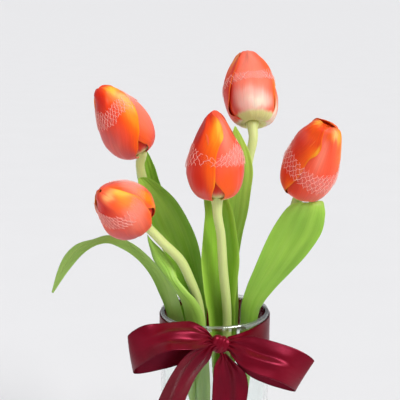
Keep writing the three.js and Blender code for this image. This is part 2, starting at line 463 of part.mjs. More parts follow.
// The turn of ribbon round the glass, drawn together where it meets the knot.
const WRAP_STATIONS = [
  // angle from the front (degrees, to the right positive), height of the strip's middle, width
  [12, 188.2, 9], [22, 187.4, 13], [34, 186.2, 18], [48, 185.0, 23], [64, 184.4, 25], [90, 184.3, 25], [120, 184.3, 25],
  [150, 184.3, 25], [180, 184.3, 25], [210, 184.3, 25], [240, 184.3, 25], [270, 184.3, 25], [296, 184.4, 25],
  [312, 185.0, 23], [326, 186.2, 18], [338, 187.4, 13], [348, 188.2, 9]];
function wrapGeometry() {
  const grid = curveAt(WRAP_STATIONS.map((s) => new THREE.Vector3(s[0], s[1], s[2])), 32).map((s) => {
    const a = s.x * DEG;
    const r = WRAP_RADIUS / Math.cos(5 * DEG);
    return [-0.5, 0, 0.5].map((q) => new THREE.Vector3(r * Math.sin(a), -r * Math.cos(a), s.y - q * s.z));
  });
  return thicken(grid, RIBBON_THICKNESS);
}

function vaseGeometry() {
  const { outerRadius: R, wall, height: H, base, footRound } = VASE;
  const r = R - wall, mid = R - wall / 2, round = wall / 2;
  const profile = [new THREE.Vector2(0, 0), new THREE.Vector2(R - footRound, 0), new THREE.Vector2(R - footRound * 0.3, footRound * 0.3), new THREE.Vector2(R, footRound)];
  for (let k = 0; k <= 6; k++) {
    const a = (k / 6) * Math.PI;
    profile.push(new THREE.Vector2(mid + round * Math.cos(a), H - round + round * Math.sin(a)));
  }
  profile.push(new THREE.Vector2(r, base + 4), new THREE.Vector2(r - 1.2, base + 1.2), new THREE.Vector2(r - 4, base), new THREE.Vector2(0, base));
  const points = [], faces = [], rings = [];
  for (const p of profile) {
    if (p.x === 0) rings.push([points.push(new THREE.Vector3(0, 0, p.y)) - 1]);
    else rings.push(Array.from({ length: VASE.facets }, (_, k) => {
      const w = (k / VASE.facets) * 2 * Math.PI;
      return points.push(new THREE.Vector3(p.x * Math.cos(w), p.x * Math.sin(w), p.y)) - 1;
    }));
  }
  for (let i = 0; i < rings.length - 1; i++) for (let k = 0; k < VASE.facets; k++) {
    const a = rings[i], b = rings[i + 1], n = (k + 1) % VASE.facets;
    if (a.length === 1) faces.push([a[0], b[n], b[k]]);
    else if (b.length === 1) faces.push([a[k], a[n], b[0]]);
    else faces.push([a[k], a[n], b[n]], [a[k], b[n], b[k]]);
  }
  return closedGeometry(points, faces);
}

const vaseOfTulips = new THREE.Group();
function add(parent, name, geometry, finish) {
  const mesh = new THREE.Mesh(geometry, new THREE.MeshStandardMaterial(MATERIALS[finish]));
  mesh.name = name;
  parent.add(mesh);
  return mesh;
}

add(vaseOfTulips, 'glass_vase', vaseGeometry(), 'glass');

for (const [key, bloom] of Object.entries(BLOOMS)) {
  const flower = new THREE.Group();
  const seat = BLOOM_SEATS[key], frame = bloomFrame(seat);
  const route = STEM_PATHS[key].map(V);
  route.push(frame.base.clone().add(frame.axis.clone().multiplyScalar(RECEPTACLE_RISE)));
  const path = curveThrough(route, STEM_STATIONS);
  const radii = path.map((_, i) => (i === STEM_STATIONS ? 2.9 : STEM_FOOT_RADIUS + (STEM_RADIUS - STEM_FOOT_RADIUS) * Math.min(1, i / 25)));
  add(flower, `tulip_${bloom.name}_stem`, stemGeometry(path, radii, STEM_SIDES, true), 'stem');
  bloom.outer.forEach((spec, k) => add(flower, `tulip_${bloom.name}_outer_petal_${k + 1}`, petalGeometry(frame, spec, bloom.open, false), 'petalOuter'));
  bloom.inner.forEach((spec, k) => add(flower, `tulip_${bloom.name}_inner_petal_${k + 1}`, petalGeometry(frame, spec, bloom.open, true), 'petalInner'));
  add(flower, `tulip_${bloom.name}_pistil_and_stamens`, pistilGeometry(frame), 'pistil');
  add(flower, `tulip_${bloom.name}_bud_net`, netGeometry(frame, bloom.open, bloom.net), 'net');
  vaseOfTulips.add(flower);
}

for (const [key, stations] of Object.entries(LEAF_STATIONS)) add(vaseOfTulips, LEAF_NAMES[key], leafGeometry(stations), 'leaf');

const bow = new THREE.Group();
add(bow, 'ribbon_wrap', wrapGeometry(), 'ribbon');
const knot = new THREE.SphereGeometry(1, 12, 8);
knot.scale(...KNOT.size);
const knotMesh = add(bow, 'bow_knot', knot, 'ribbon');
knotMesh.position.set(...KNOT.centre);
add(bow, 'bow_loop_left', ribbonGeometry(RIBBON_STATIONS.loop_left, 26), 'ribbon');
add(bow, 'bow_loop_right', ribbonGeometry(RIBBON_STATIONS.loop_right, 26), 'ribbon');
add(bow, 'ribbon_tail_left', ribbonGeometry(RIBBON_STATIONS.tail_left, 14), 'ribbon');
add(bow, 'ribbon_tail_right', ribbonGeometry(RIBBON_STATIONS.tail_right, 14), 'ribbon');
vaseOfTulips.add(bow);

export default vaseOfTulips;
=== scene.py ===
# Five tulips in a glass cylinder vase tied with a satin ribbon bow: the finished look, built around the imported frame.
# Lengths in the tables are millimetres; everything that Blender gets is in metres.
import math
import random

import bpy
import numpy as np
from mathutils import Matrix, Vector


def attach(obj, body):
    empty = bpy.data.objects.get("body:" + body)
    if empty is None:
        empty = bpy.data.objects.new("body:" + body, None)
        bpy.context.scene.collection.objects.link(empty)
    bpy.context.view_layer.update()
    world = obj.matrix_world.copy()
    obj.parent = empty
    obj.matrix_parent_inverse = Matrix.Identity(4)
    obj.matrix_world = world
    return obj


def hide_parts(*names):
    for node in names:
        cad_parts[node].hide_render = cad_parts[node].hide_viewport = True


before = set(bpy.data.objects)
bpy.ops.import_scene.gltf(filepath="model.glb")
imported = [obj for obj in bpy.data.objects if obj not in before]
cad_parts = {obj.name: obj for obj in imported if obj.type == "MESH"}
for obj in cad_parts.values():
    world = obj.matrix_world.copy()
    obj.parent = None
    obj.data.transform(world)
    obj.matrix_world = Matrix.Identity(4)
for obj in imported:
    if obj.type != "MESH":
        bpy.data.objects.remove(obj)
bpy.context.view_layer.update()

MM = 0.001
DEG = math.pi / 180
scene = bpy.context.scene

STEM_PATHS = {
    "a": [
        (-6, 6, 10.6),
        (-7.5, 7.4, 60),
        (-9.5, 8.6, 110),
        (-12.5, 9.4, 150),
        (-18, 10.5, 199),
        (-27.2, 11, 217.8),
        (-36, 11, 244.8),
        (-45.7, 10.8, 270.7),
        (-52, 10.2, 294),
        (-53.8, 9.6, 301.9),
        (-54.2, 8.8, 307.5),
        (-52.6, 7.3, 313.5),
        (-54.7, 6, 317.4),
    ],
    "b": [
        (-6, -8, 10.6),
        (-6.8, -8.6, 60),
        (-7.6, -9.6, 110),
        (-8.6, -11, 150),
        (-10.3, -14.2, 199),
        (-12.8, -16.5, 213.5),
        (-17.5, -19.5, 227.2),
        (-24.5, -23, 243.3),
        (-36.5, -27.4, 257.3),
        (-45, -28.2, 266.6),
        (-49.2, -33, 271.5),
        (-51.8, -36, 274.5),
    ],
    "c": [
        (4, -9, 10.6),
        (4.4, -9.8, 60),
        (5.4, -11.2, 110),
        (6.8, -12.8, 150),
        (8.8, -16, 199),
        (5.6, -22, 236.1),
        (3.7, -28, 263.5),
        (1.2, -32.3, 278.6),
        (0.9, -32.1, 286.6),
        (0.7, -32, 291.6),
    ],
    "d": [
        (6, 7, 10.6),
        (7, 7.6, 60),
        (8.4, 8.2, 110),
        (10, 9.4, 150),
        (11.6, 10.8, 199),
        (13.5, 12, 232.2),
        (19.8, 13.2, 271.7),
        (24.5, 14.6, 307.3),
        (28, 16.9, 324.3),
        (27.7, 21.3, 331),
        (27.5, 24, 335.2),
    ],
    "e": [
        (11, 1, 10.6),
        (13.4, 0.4, 60),
        (16.8, -1, 110),
        (21, -2.8, 150),
        (28, -6.4, 199),
        (34.4, -10.5, 219.1),
        (46.1, -16, 249.1),
        (55.2, -20.5, 270.7),
        (55.5, -23, 282.9),
        (57.5, -26.1, 290),
        (58.8, -28, 294.4),
    ],
}
LEAF_STATIONS = {
    "l1": [
        ((-9, -4.9, 82), (-9, -14.3, 82), (-3.9, 0, 0)),
        ((-14.4, -4.3, 112), (-13.9, -12.2, 112), (-0.8, 0.2, 0)),
        ((-23.2, -4.6, 150), (-14.6, -12.4, 150), (-1.6, 2, 0)),
        ((-34.6, -4.2, 196), (-22.4, -14.6, 196), (-1.5, 4, 0)),
        ((-41.9, -8, 217.6), (-27.7, -17, 216.7), (0, 3.6, 1)),
        ((-46.3, -10, 228), (-34.7, -18, 229.7), (0, 3.4, 1.2)),
        ((-52.3, -12, 237.4), (-44.4, -18, 241.6), (0, 2.6, 1.4)),
        ((-59.8, -13, 244.9), (-55.3, -15, 251.2), (0, 1.5, 1.6)),
        ((-67.9, -14, 250.3), (-66.1, -12, 256.3), (0, 0, 2)),
        ((-76.4, -15, 253.8), (-77.2, -10, 258.1), (0, 0, 1.8)),
        ((-85.8, -16, 252), (-87.9, -9, 254.9), (0.6, 0, 1.5)),
        ((-94.7, -17, 246), (-98.8, -9, 252), (1, 0, 1.6)),
        ((-102.7, -18, 236.8), (-107.5, -10, 244.2), (1, 0, 1.2)),
        ((-109.3, -18.5, 227.6), (-113, -12.5, 232.9), (0.6, 0, 0.8)),
        ((-116.1, -17, 217.4), (-117.5, -15.6, 217.7), (0, 0, 0.1)),
    ],
    "l2": [
        ((-11, -14.2, 108), (-4.2, -13.9, 108), (0, -2.2, 0)),
        ((-13.6, -15.8, 150), (-3.4, -17, 150), (0, -2.4, 0)),
        ((-20.8, -17.2, 196), (-7, -21.5, 196), (1, -3, 0)),
        ((-24.4, -19, 212.1), (-12.1, -24.2, 211.9), (-0.3, -2.4, 0)),
        ((-29.6, -20.5, 220.8), (-19.2, -25.2, 221.1), (-0.3, -2, -0.3)),
        ((-34.5, -21.5, 229.3), (-26.7, -23.2, 230.1), (-0.2, -1.9, -0.3)),
        ((-39.4, -22.5, 236.8), (-28.8, -19.4, 237.2), (0, -1.8, -0.3)),
        ((-43.6, -23.5, 243.8), (-33.2, -20, 244.6), (0.2, -1.8, -0.3)),
        ((-45.9, -25, 252.3), (-38.2, -22.9, 251.6), (0.2, -1.6, -0.3)),
        ((-47.1, -27.6, 259.1), (-43.8, -26.4, 258.2), (0.1, -0.8, -0.1)),
        ((-47.5, -28.6, 263.6), (-47, -28.6, 263), (0, -0.1, 0)),
    ],
    "l3": [
        ((-14.2, 6, 104), (-4.7, 6.4, 104), (0, -3.9, 0)),
        ((-19.6, 4.6, 150), (-5, 3.4, 150), (0.4, -2.6, 0)),
        ((-25.6, 1.4, 196), (-6, -3.2, 196), (0.4, 4, 0)),
        ((-20.4, -2, 208.8), (-6.1, -8, 207.7), (0, 5, 0)),
        ((-26.1, -4, 223.2), (-8.5, -9, 224.7), (0, 5.6, 0)),
        ((-34, -5.5, 240.2), (-10.4, -9.5, 241.4), (0, 6.4, 0)),
        ((-41, -6.5, 255.5), (-14, -9.5, 256.2), (0, 7, 0)),
        ((-46.9, -7, 269.6), (-19.9, -8.5, 270.7), (0, 7, 0)),
        ((-51.3, -7, 282.1), (-27.9, -7, 283.2), (0, 6.2, 0)),
        ((-53.8, -6.5, 291.5), (-37.6, -6, 292.5), (0, 4.2, 0)),
        ((-54.7, -6, 297.2), (-46.9, -5.5, 298.8), (0, 1.8, 0.2)),
        ((-54.5, -5.6, 298.8), (-52.8, -5.4, 299.6), (0, 0.2, 0.1)),
    ],
    "l4": [
        ((-35.8, 15, 234.5), (-28.5, 16, 231.1), (1.2, 2, 0)),
        ((-42.6, 15.4, 249.8), (-30.8, 17, 249.4), (0.6, 2.6, 0)),
        ((-49.5, 15.4, 269.6), (-33.7, 16.4, 270.9), (0.4, 3.2, 0)),
        ((-55.2, 14.6, 287.9), (-38.9, 15.2, 288.5), (0.2, 3.4, 0)),
        ((-57.2, 14, 298.5), (-42.3, 14.8, 299.1), (0, 3.2, 0)),
        ((-56.5, 14, 307.4), (-45.6, 15.4, 307.6), (0, 2.6, 0)),
        ((-54.6, 15.4, 313.8), (-48.9, 17.4, 313.9), (0, 1.4, 0)),
        ((-53.2, 19.4, 317.9), (-52, 19.8, 318), (0, 0.2, 0)),
    ],
    "l5": [
        ((0.7, -10.4, 106), (9.9, -10.7, 106), (0, 5, 0)),
        ((-1.2, -11.8, 150), (13.2, -12.4, 150), (0.2, 4.6, 0)),
        ((-4.4, -13.4, 196), (14.6, -14.4, 196), (0.6, 4.4, 0)),
        ((-6.5, -15.5, 208.7), (14.4, -17, 209.2), (0, 5.6, 0)),
        ((-8.4, -17.5, 222.8), (15.6, -19, 223.3), (0, 6.4, 0)),
        ((-9.7, -19, 238.1), (16.8, -21, 238), (0, 7.4, 0)),
        ((-9.4, -20, 250.2), (16.4, -21.5, 250.6), (0, 8, 0)),
        ((-8.5, -20, 264.8), (14.8, -20.5, 264.9), (0, 8, 0)),
        ((-7.6, -18, 275.8), (12.7, -17.5, 276.5), (0, 7.4, 0)),
        ((-8.1, -12.5, 284.7), (9.3, -12, 285), (0, 6, 0)),
        ((-6.7, -5.5, 293.4), (5.7, -5, 293.7), (0, 3.4, 0)),
        ((-2.7, -1.4, 302.8), (-1.1, -1.3, 302.9), (0, 0.3, 0)),
    ],
    "l6": [
        ((3.8, 6.2, 112), (13, 6.4, 112), (0, -3.8, 0)),
        ((4.6, 4.8, 150), (15.2, 5.2, 150), (0, -1.9, 0)),
        ((5, 3.6, 196), (17.6, 4.2, 196), (0, -1.2, 0)),
        ((3.2, 2.6, 213.5), (17.3, 4, 211.5), (0, -0.6, 0)),
        ((3.6, 1.8, 235.2), (17.4, 3.6, 234.6), (0, 1.4, 0)),
        ((5.2, 0.8, 255.1), (20, 3.2, 254.8), (0, 1.6, 0)),
        ((7.3, 0.2, 273.1), (23.9, 3, 272.9), (0, 1.4, 0)),
        ((8.3, 0, 289.4), (26, 2.8, 288.8), (0, 1.2, 0)),
        ((8.8, 0, 304), (27.3, 2.6, 302.8), (0, 1.2, 0)),
        ((9.5, 0, 315.6), (24.8, 2.2, 315.2), (0, 1, 0)),
        ((10.8, -0.2, 325.7), (20.1, 1.8, 325.8), (0, 0.6, 0)),
        ((13.6, 0, 335.3), (14.7, 0.4, 335.3), (0, 0.1, 0)),
    ],
    "l7": [
        ((13.4, -5.4, 108), (20.8, -4.6, 108), (0.2, -1.8, 0)),
        ((16.2, -8.8, 150), (26.4, -6.4, 150), (0.4, -2.6, 0)),
        ((18.4, -15.2, 196), (30.8, -13.4, 196), (0, -3.2, 0)),
        ((19.1, -17.5, 209.3), (34.3, -18, 209.5), (0, -2, 0)),
        ((22.2, -20, 222.1), (43, -21, 222.5), (0, -0.4, 0)),
        ((26.2, -22.5, 234), (52.9, -23, 234.2), (0, 0.8, 0)),
        ((31.4, -25.5, 248.8), (64.2, -27.5, 249.3), (0, 1.4, 0)),
        ((38.1, -29, 265.2), (73, -31.5, 265.1), (0, 0.6, 0)),
        ((44.4, -32.5, 277.4), (75.1, -34, 278.1), (0, -1.4, 0)),
        ((49.8, -34.5, 285), (74.7, -33.5, 284.7), (0, -2.6, 0)),
        ((54.7, -35.6, 287.5), (73.1, -31.5, 288), (0, -2, 0)),
        ((61.5, -36, 287.4), (67.1, -35, 287.6), (0, -0.2, 0)),
    ],
}
RIBBON_STATIONS = {
    "loop_left": [
        ((-5.3, -51, 196.8), (0.15, -0.301, -0.942), 9.5),
        ((-10.1, -54, 198.2), (0.1, -0.62, -0.778), 17),
        ((-17.6, -56.8, 200.2), (0.05, -0.82, -0.57), 23.5),
        ((-29.1, -59, 200.5), (0.02, -0.88, -0.475), 25),
        ((-39.3, -59.5, 198.4), (0, -0.79, -0.613), 25),
        ((-48.5, -58.5, 194.8), (0.06, -0.521, -0.851), 25),
        ((-55.5, -55.8, 189.5), (0.1, -0.338, -0.936), 25),
        ((-58.6, -52.2, 184.7), (0.15, -0.18, -0.972), 25),
        ((-57.1, -48.6, 181.6), (0.12, -0.05, -0.991), 25),
        ((-50.4, -46.4, 181), (0.05, 0, -0.999), 25),
        ((-40, -45.2, 182.6), (-0.02, 0, -1), 25),
        ((-28.9, -44.8, 185.2), (-0.06, 0, -0.998), 25),
        ((-17.7, -45.4, 188.4), (-0.08, 0, -0.997), 22),
        ((-8.7, -46.6, 191.5), (-0.08, 0, -0.997), 12),
    ],
    "loop_right": [
        ((10.5, -51, 191), (-0.291, -0.291, -0.911), 9.5),
        ((15.6, -54.4, 189.7), (-0.284, -0.457, -0.843), 17),
        ((22.6, -57.2, 188), (-0.263, -0.526, -0.809), 23),
        ((32.1, -59, 185.2), (-0.282, -0.523, -0.805), 25),
        ((42.4, -59.2, 182), (-0.342, -0.483, -0.806), 25),
        ((51.4, -58, 177.9), (-0.421, -0.361, -0.832), 25),
        ((58.2, -55.4, 173), (-0.486, -0.202, -0.85), 25),
        ((61.7, -51.8, 168.6), (-0.506, -0.061, -0.86), 25),
        ((59.8, -48.4, 166.7), (-0.487, 0, -0.873), 25),
        ((51.3, -46.2, 168.2), (-0.406, 0.02, -0.914), 25),
        ((40.9, -45.4, 171.4), (-0.364, 0.02, -0.931), 25),
        ((29.6, -45.4, 176.3), (-0.399, 0.02, -0.917), 24),
        ((19.8, -46, 182.4), (-0.447, 0, -0.894), 18),
        ((13.1, -46.8, 188.2), (-0.447, 0, -0.894), 10),
    ],
    "tail_left": [
        ((-5.3, -54.5, 190.9), (0.8, 0.1, -0.55), 8),
        ((-10.8, -56, 185.6), (0.76, 0.4, -0.5), 17),
        ((-17.3, -55.2, 177.3), (0.68, 0.62, -0.38), 24),
        ((-22.8, -54.6, 168.3), (0.66, 0.66, -0.32), 25),
        ((-27.7, -54, 157.7), (0.66, 0.66, -0.31), 25),
        ((-31.7, -53.4, 147), (0.7, 0.63, -0.26), 25),
        ((-34.8, -53, 134.8), (0.76, 0.58, -0.2), 25),
        ((-37.5, -53.2, 121.3), (0.82, 0.5, -0.15), 25),
        ((-38.9, -54, 108), (0.87, 0.44, -0.1), 25),
        ((-39.4, -55.6, 96.6), (0.9, 0.4, -0.06), 25),
    ],
    "tail_right": [
        ((6.9, -50.4, 181.6), (0.959, -0.2, -0.2), 8),
        ((8.6, -50.8, 176.6), (0.97, -0.222, -0.101), 17),
        ((9.8, -51.4, 171.4), (0.981, -0.182, -0.061), 22.5),
        ((10.3, -51.8, 161.9), (0.975, -0.221, -0.02), 25),
        ((9.5, -52.4, 151), (0.958, -0.279, 0.06), 25),
        ((8.5, -52, 138.9), (0.936, -0.338, 0.1), 25),
        ((8.1, -52.2, 125.4), (0.921, -0.381, 0.08), 25),
        ((9.2, -53, 112.1), (0.915, -0.402, 0.04), 25),
        ((11.1, -54.2, 98.9), (0.906, -0.423, 0), 25),
        ((13.3, -56, 87.5), (0.905, -0.423, -0.04), 25),
    ],
}
BLOOM_SEATS = {
    "a": dict(base=(-54.7, 6, 317.4), axis=(-0.45, -0.28, 0.848), length=55, radius=19.3),
    "b": dict(base=(-51.8, -36, 274.5), axis=(-0.519, -0.599, 0.609), length=47, radius=19.6),
    "c": dict(base=(0.7, -32, 291.6), axis=(-0.035, 0.02, 0.999), length=58.8, radius=20.1),
    "d": dict(base=(27.5, 24, 335.2), axis=(-0.035, 0.545, 0.838), length=58.5, radius=20.6),
    "e": dict(base=(58.8, -28, 294.4), axis=(0.25, -0.385, 0.888), length=57, radius=19.3),
}
WRAP_STATIONS = [(12, 188.2, 9), (22, 187.4, 13), (34, 186.2, 18), (48, 185, 23), (64, 184.4, 25), (90, 184.3, 25), (120, 184.3, 25), (150, 184.3, 25), (180, 184.3, 25), (210, 184.3, 25), (240, 184.3, 25), (270, 184.3, 25), (296, 184.4, 25), (312, 185, 23), (326, 186.2, 18), (338, 187.4, 13), (348, 188.2, 9)]
BLOOM_PROFILE = [(3.9, 0), (8, -1.6), (12, -0.4), (15.6, 3), (18.4, 9), (20, 18), (19.5, 26), (17.6, 34.5), (14.5, 42.5), (11, 49.8), (7.6, 56), (4.2, 62)]

# ---------------------------------------------------------------- curves and grids
def smooth(x):
    x = np.clip(x, 0.0, 1.0)
    return x * x * (3 - 2 * x)


def ramp(x, a, b):
    return smooth((np.asarray(x, float) - a) / (b - a))


def catmull(points, u):
    """Catmull-Rom through points at station numbers u."""
    P = np.asarray(points, float)
    n = len(P) - 1
    P = np.vstack([2 * P[0] - P[1], P, 2 * P[-1] - P[-2]])
    x = np.clip(np.asarray(u, float), 0, n - 1e-9)
    i = np.floor(x).astype(int)
    f = (x - i)[:, None]
    p0, p1, p2, p3 = P[i], P[i + 1], P[i + 2], P[i + 3]
    return 0.5 * (2 * p1 + (p2 - p0) * f + (2 * p0 - 5 * p1 + 4 * p2 - p3) * f * f + (3 * p1 - p0 - 3 * p2 + p3) * f ** 3)


def centripetal(points, count):
    """Evenly spaced points on a centripetal Catmull-Rom curve, as the frame's stems follow."""
    P = np.asarray(points, float)
    P = np.vstack([2 * P[0] - P[1], P, 2 * P[-1] - P[-2]])
    out = []
    for i in range(1, len(P) - 2):
        p = P[i - 1:i + 3]
        d = np.maximum(np.sqrt(np.linalg.norm(np.diff(p, axis=0), axis=1)), 1e-6)
        t = np.concatenate([[0], np.cumsum(d)])
        for x in np.linspace(t[1], t[2], 40, endpoint=i == len(P) - 3):
            a = [((t[k + 1] - x) * p[k] + (x - t[k]) * p[k + 1]) / (t[k + 1] - t[k]) for k in range(3)]
            b = [((t[k + 2] - x) * a[k] + (x - t[k]) * a[k + 1]) / (t[k + 2] - t[k]) for k in range(2)]
            out.append(((t[2] - x) * b[0] + (x - t[1]) * b[1]) / (t[2] - t[1]))
    return even(np.array(out), count)


def even(line, count):
    s = np.concatenate([[0], np.cumsum(np.linalg.norm(np.diff(line, axis=0), axis=1))])
    at = np.linspace(0, s[-1], count + 1)
    return np.stack([np.interp(at, s, line[:, k]) for k in range(3)], 1)


def table_at(table, t):
    """Smooth look-up in a table of (t, value, ...) rows; returns one array for each value."""
    T = np.asarray(table, float)
    x, t = T[:, 0], np.asarray(t, float)
    out = []
    for c in range(1, T.shape[1]):
        y = T[:, c]
        h, d = np.diff(x), np.diff(y) / np.diff(x)
        m = np.zeros(len(y))
        m[0], m[-1] = d[0], d[-1]
        for i in range(1, len(y) - 1):
            if d[i - 1] * d[i] > 0:
                w1, w2 = 2 * h[i] + h[i - 1], h[i] + 2 * h[i - 1]
                m[i] = (w1 + w2) / (w1 / d[i - 1] + w2 / d[i])
        i = np.clip(np.searchsorted(x, t, side="right") - 1, 0, len(x) - 2)
        f = np.clip((t - x[i]) / h[i], 0, 1)
        out.append((1 + 2 * f) * (1 - f) ** 2 * y[i] + f * (1 - f) ** 2 * h[i] * m[i]
                   + f * f * (3 - 2 * f) * y[i + 1] + f * f * (f - 1) * h[i] * m[i + 1])
    return out[0] if len(out) == 1 else out


def normals(grid):
    along = np.gradient(grid, axis=0)
    across = np.gradient(grid, axis=1)
    n = np.cross(across, along)
    return n / np.maximum(np.linalg.norm(n, axis=2, keepdims=True), 1e-9)


def volume_of(P, faces):
    """Six times the signed volume that the faces enclose."""
    sizes = {}
    for f in faces:
        sizes.setdefault(len(f), []).append(f)
    total = 0.0
    for size, group in sizes.items():
        F = np.array(group)
        for k in range(1, size - 1):
            total += np.einsum("ij,ij->i", P[F[:, 0]], np.cross(P[F[:, k]], P[F[:, k + 1]])).sum()
    return total


def make_mesh(name, points, faces, attrs=None, smooth_faces=True):
    """Closed mesh from millimetre points, faces turned outwards."""
    P = np.asarray(points, float)
    mesh = bpy.data.meshes.new(name)
    mesh.from_pydata((P * MM).tolist(), [], [tuple(map(int, f)) for f in faces])
    if volume_of(P, faces) < 0:
        mesh.flip_normals()
    for key, values in (attrs or {}).items():
        a = mesh.attributes.new(key, "FLOAT", "POINT")
        a.data.foreach_set("value", np.asarray(values, np.float32).ravel())
    mesh.polygons.foreach_set("use_smooth", [smooth_faces] * len(mesh.polygons))
    mesh.update()
    mesh.validate()
    obj = bpy.data.objects.new(name, mesh)
    scene.collection.objects.link(obj)
    return obj


def shell(name, front, back, attrs):
    """Thin closed piece between two matching grids, with a rounded rim between them."""
    rows, cols = front.shape[:2]
    per = rows * cols
    idx = np.arange(per).reshape(rows, cols)
    faces = []
    A, B, C, D = idx[:-1, :-1], idx[:-1, 1:], idx[1:, 1:], idx[1:, :-1]
    quads = np.stack([A, B, C, D], -1).reshape(-1, 4)
    faces += quads.tolist()
    faces += (quads[:, ::-1] + per).tolist()
    ring = list(idx[0, :]) + list(idx[1:, -1]) + list(idx[-1, -2::-1]) + list(idx[-2:0:-1, 0])
    F, K = front.reshape(-1, 3), back.reshape(-1, 3)
    centre = (F + K) / 2
    # the rim bulges a little, so an edge is round and not cut square
    nxt = {ring[k]: (ring[k - 1], ring[(k + 1) % len(ring)]) for k in range(len(ring))}
    rim = []
    for v in ring:
        a, b = nxt[v]
        tangent = centre[b] - centre[a]
        out = np.cross(tangent, F[v] - K[v])
        ln = np.linalg.norm(out)
        out = out / ln if ln > 1e-9 else out
        r, c = divmod(int(v), cols)
        inner = centre[idx[min(max(r, 1), rows - 2), min(max(c, 1), cols - 2)]]
        if np.dot(out, centre[v] - inner) < 0:
            out = -out
        rim.append(centre[v] + out * np.linalg.norm(F[v] - K[v]) * 0.38)
    base = 2 * per
    m = len(ring)
    for k in range(m):
        a, b = ring[k], ring[(k + 1) % m]
        faces.append([b, a, base + k, base + (k + 1) % m])
        faces.append([base + (k + 1) % m, base + k, a + per, b + per])
    points = np.vstack([F, K, np.array(rim)])
    full = {}
    for key, (f, b) in attrs.items():
        f = np.broadcast_to(np.asarray(f, float), (rows, cols)).ravel()
        b = np.broadcast_to(np.asarray(b, float), (rows, cols)).ravel()
        full[key] = np.concatenate([f, b, f[ring]])
    return make_mesh(name, points, faces, full)


def tube(points, radii, sides, cap=True):
    """Points and faces of a round tube along a line."""
    P = np.asarray(points, float)
    R = np.broadcast_to(np.asarray(radii, float), (len(P),))
    T = np.gradient(P, axis=0)
    T /= np.maximum(np.linalg.norm(T, axis=1, keepdims=True), 1e-9)
    across = np.array([1.0, 0.2, 0.1])
    verts, faces = [], []
    w = np.arange(sides) / sides * 2 * np.pi
    for i in range(len(P)):
        across = across - T[i] * np.dot(across, T[i])
        across /= max(np.linalg.norm(across), 1e-9)
        other = np.cross(T[i], across)
        verts.append(P[i] + R[i] * (np.cos(w)[:, None] * across + np.sin(w)[:, None] * other))
    V = np.vstack(verts)
    for i in range(len(P) - 1):
        for k in range(sides):
            a, b = i * sides + k, i * sides + (k + 1) % sides
            faces.append([a, b, b + sides, a + sides])
    if cap:
        V = np.vstack([V, P[0], P[-1]])
        foot, top, last = len(V) - 2, len(V) - 1, (len(P) - 1) * sides
        for k in range(sides):
            faces.append([foot, (k + 1) % sides, k])
            faces.append([top, last + k, last + (k + 1) % sides])
    return V, faces


def join(parts):
    """One point and face list from several."""
    V, faces, start = [], [], 0
    for v, f in parts:
        V.append(v)
        faces += [[i + start for i in q] for q in f]
        start += len(v)
    return np.vstack(V), faces


# ---------------------------------------------------------------- materials
def lin(r, g, b, a=1.0):
    """Linear colour from display values out of 255."""
    return tuple((c / 255 / 12.92 if c / 255 <= 0.04045 else ((c / 255 + 0.055) / 1.055) ** 2.4) for c in (r, g, b)) + (a,)


class Nodes:
    """Short names for the shader nodes that the finishes use."""

    def __init__(self, name):
        self.material = bpy.data.materials.new(name)
        self.material.use_nodes = True
        self.tree = self.material.node_tree
        self.bsdf = self.tree.nodes["Principled BSDF"]
        self.output = self.tree.nodes["Material Output"]

    def put(self, socket, value):
        if isinstance(value, bpy.types.NodeSocket):
            self.tree.links.new(value, socket)
        else:
            socket.default_value = value

    def attr(self, name):
        n = self.tree.nodes.new("ShaderNodeAttribute")
        n.attribute_type = "GEOMETRY"
        n.attribute_name = name
        return n.outputs["Fac"]

    def math(self, op, a, b=0.0, c=0.0, clamp=False):
        n = self.tree.nodes.new("ShaderNodeMath")
        n.operation = op
        n.use_clamp = clamp
        for s, v in zip(n.inputs, (a, b, c)):
            self.put(s, v)
        return n.outputs[0]

    def step(self, x, a, b, lo=0.0, hi=1.0):
        n = self.tree.nodes.new("ShaderNodeMapRange")
        n.interpolation_type = "SMOOTHSTEP"
        for key, v in (("Value", x), ("From Min", a), ("From Max", b), ("To Min", lo), ("To Max", hi)):
            self.put(n.inputs[key], v)
        return n.outputs[0]

    def mix(self, f, a, b, blend="MIX"):
        n = self.tree.nodes.new("ShaderNodeMix")
        n.data_type = "RGBA"
        n.blend_type = blend
        n.clamp_factor = True
        self.put(n.inputs[0], f)
        self.put(n.inputs[6], a)
        self.put(n.inputs[7], b)
        return n.outputs[2]

    def vector(self, x, y, z):
        n = self.tree.nodes.new("ShaderNodeCombineXYZ")
        for s, v in zip(n.inputs, (x, y, z)):
            self.put(s, v)
        return n.outputs[0]

    def place(self):
        return self.tree.nodes.new("ShaderNodeTexCoord").outputs["Object"]

    def noise(self, where, scale, detail=3.0, rough=0.55, distort=0.0):
        n = self.tree.nodes.new("ShaderNodeTexNoise")
        self.put(n.inputs["Vector"], where)
        n.inputs["Scale"].default_value = scale
        n.inputs["Detail"].default_value = detail
        n.inputs["Roughness"].default_value = rough
        n.inputs["Distortion"].default_value = distort
        return n.outputs[0]

    def wave(self, where, scale, distort=0.0, profile="SIN"):
        n = self.tree.nodes.new("ShaderNodeTexWave")
        n.wave_type = "BANDS"
        n.bands_direction = "X"
        n.wave_profile = profile
        self.put(n.inputs["Vector"], where)
        n.inputs["Scale"].default_value = scale
        n.inputs["Distortion"].default_value = distort
        return n.outputs[1]

    def bump(self, height, strength, distance_mm):
        n = self.tree.nodes.new("ShaderNodeBump")
        n.inputs["Strength"].default_value = strength
        n.inputs["Distance"].default_value = distance_mm * MM
        self.put(n.inputs["Height"], height)
        self.tree.links.new(n.outputs[0], self.bsdf.inputs["Normal"])

    def set(self, **values):
        for key, v in values.items():
            self.put(self.bsdf.inputs[key.replace("_", " ")], v)


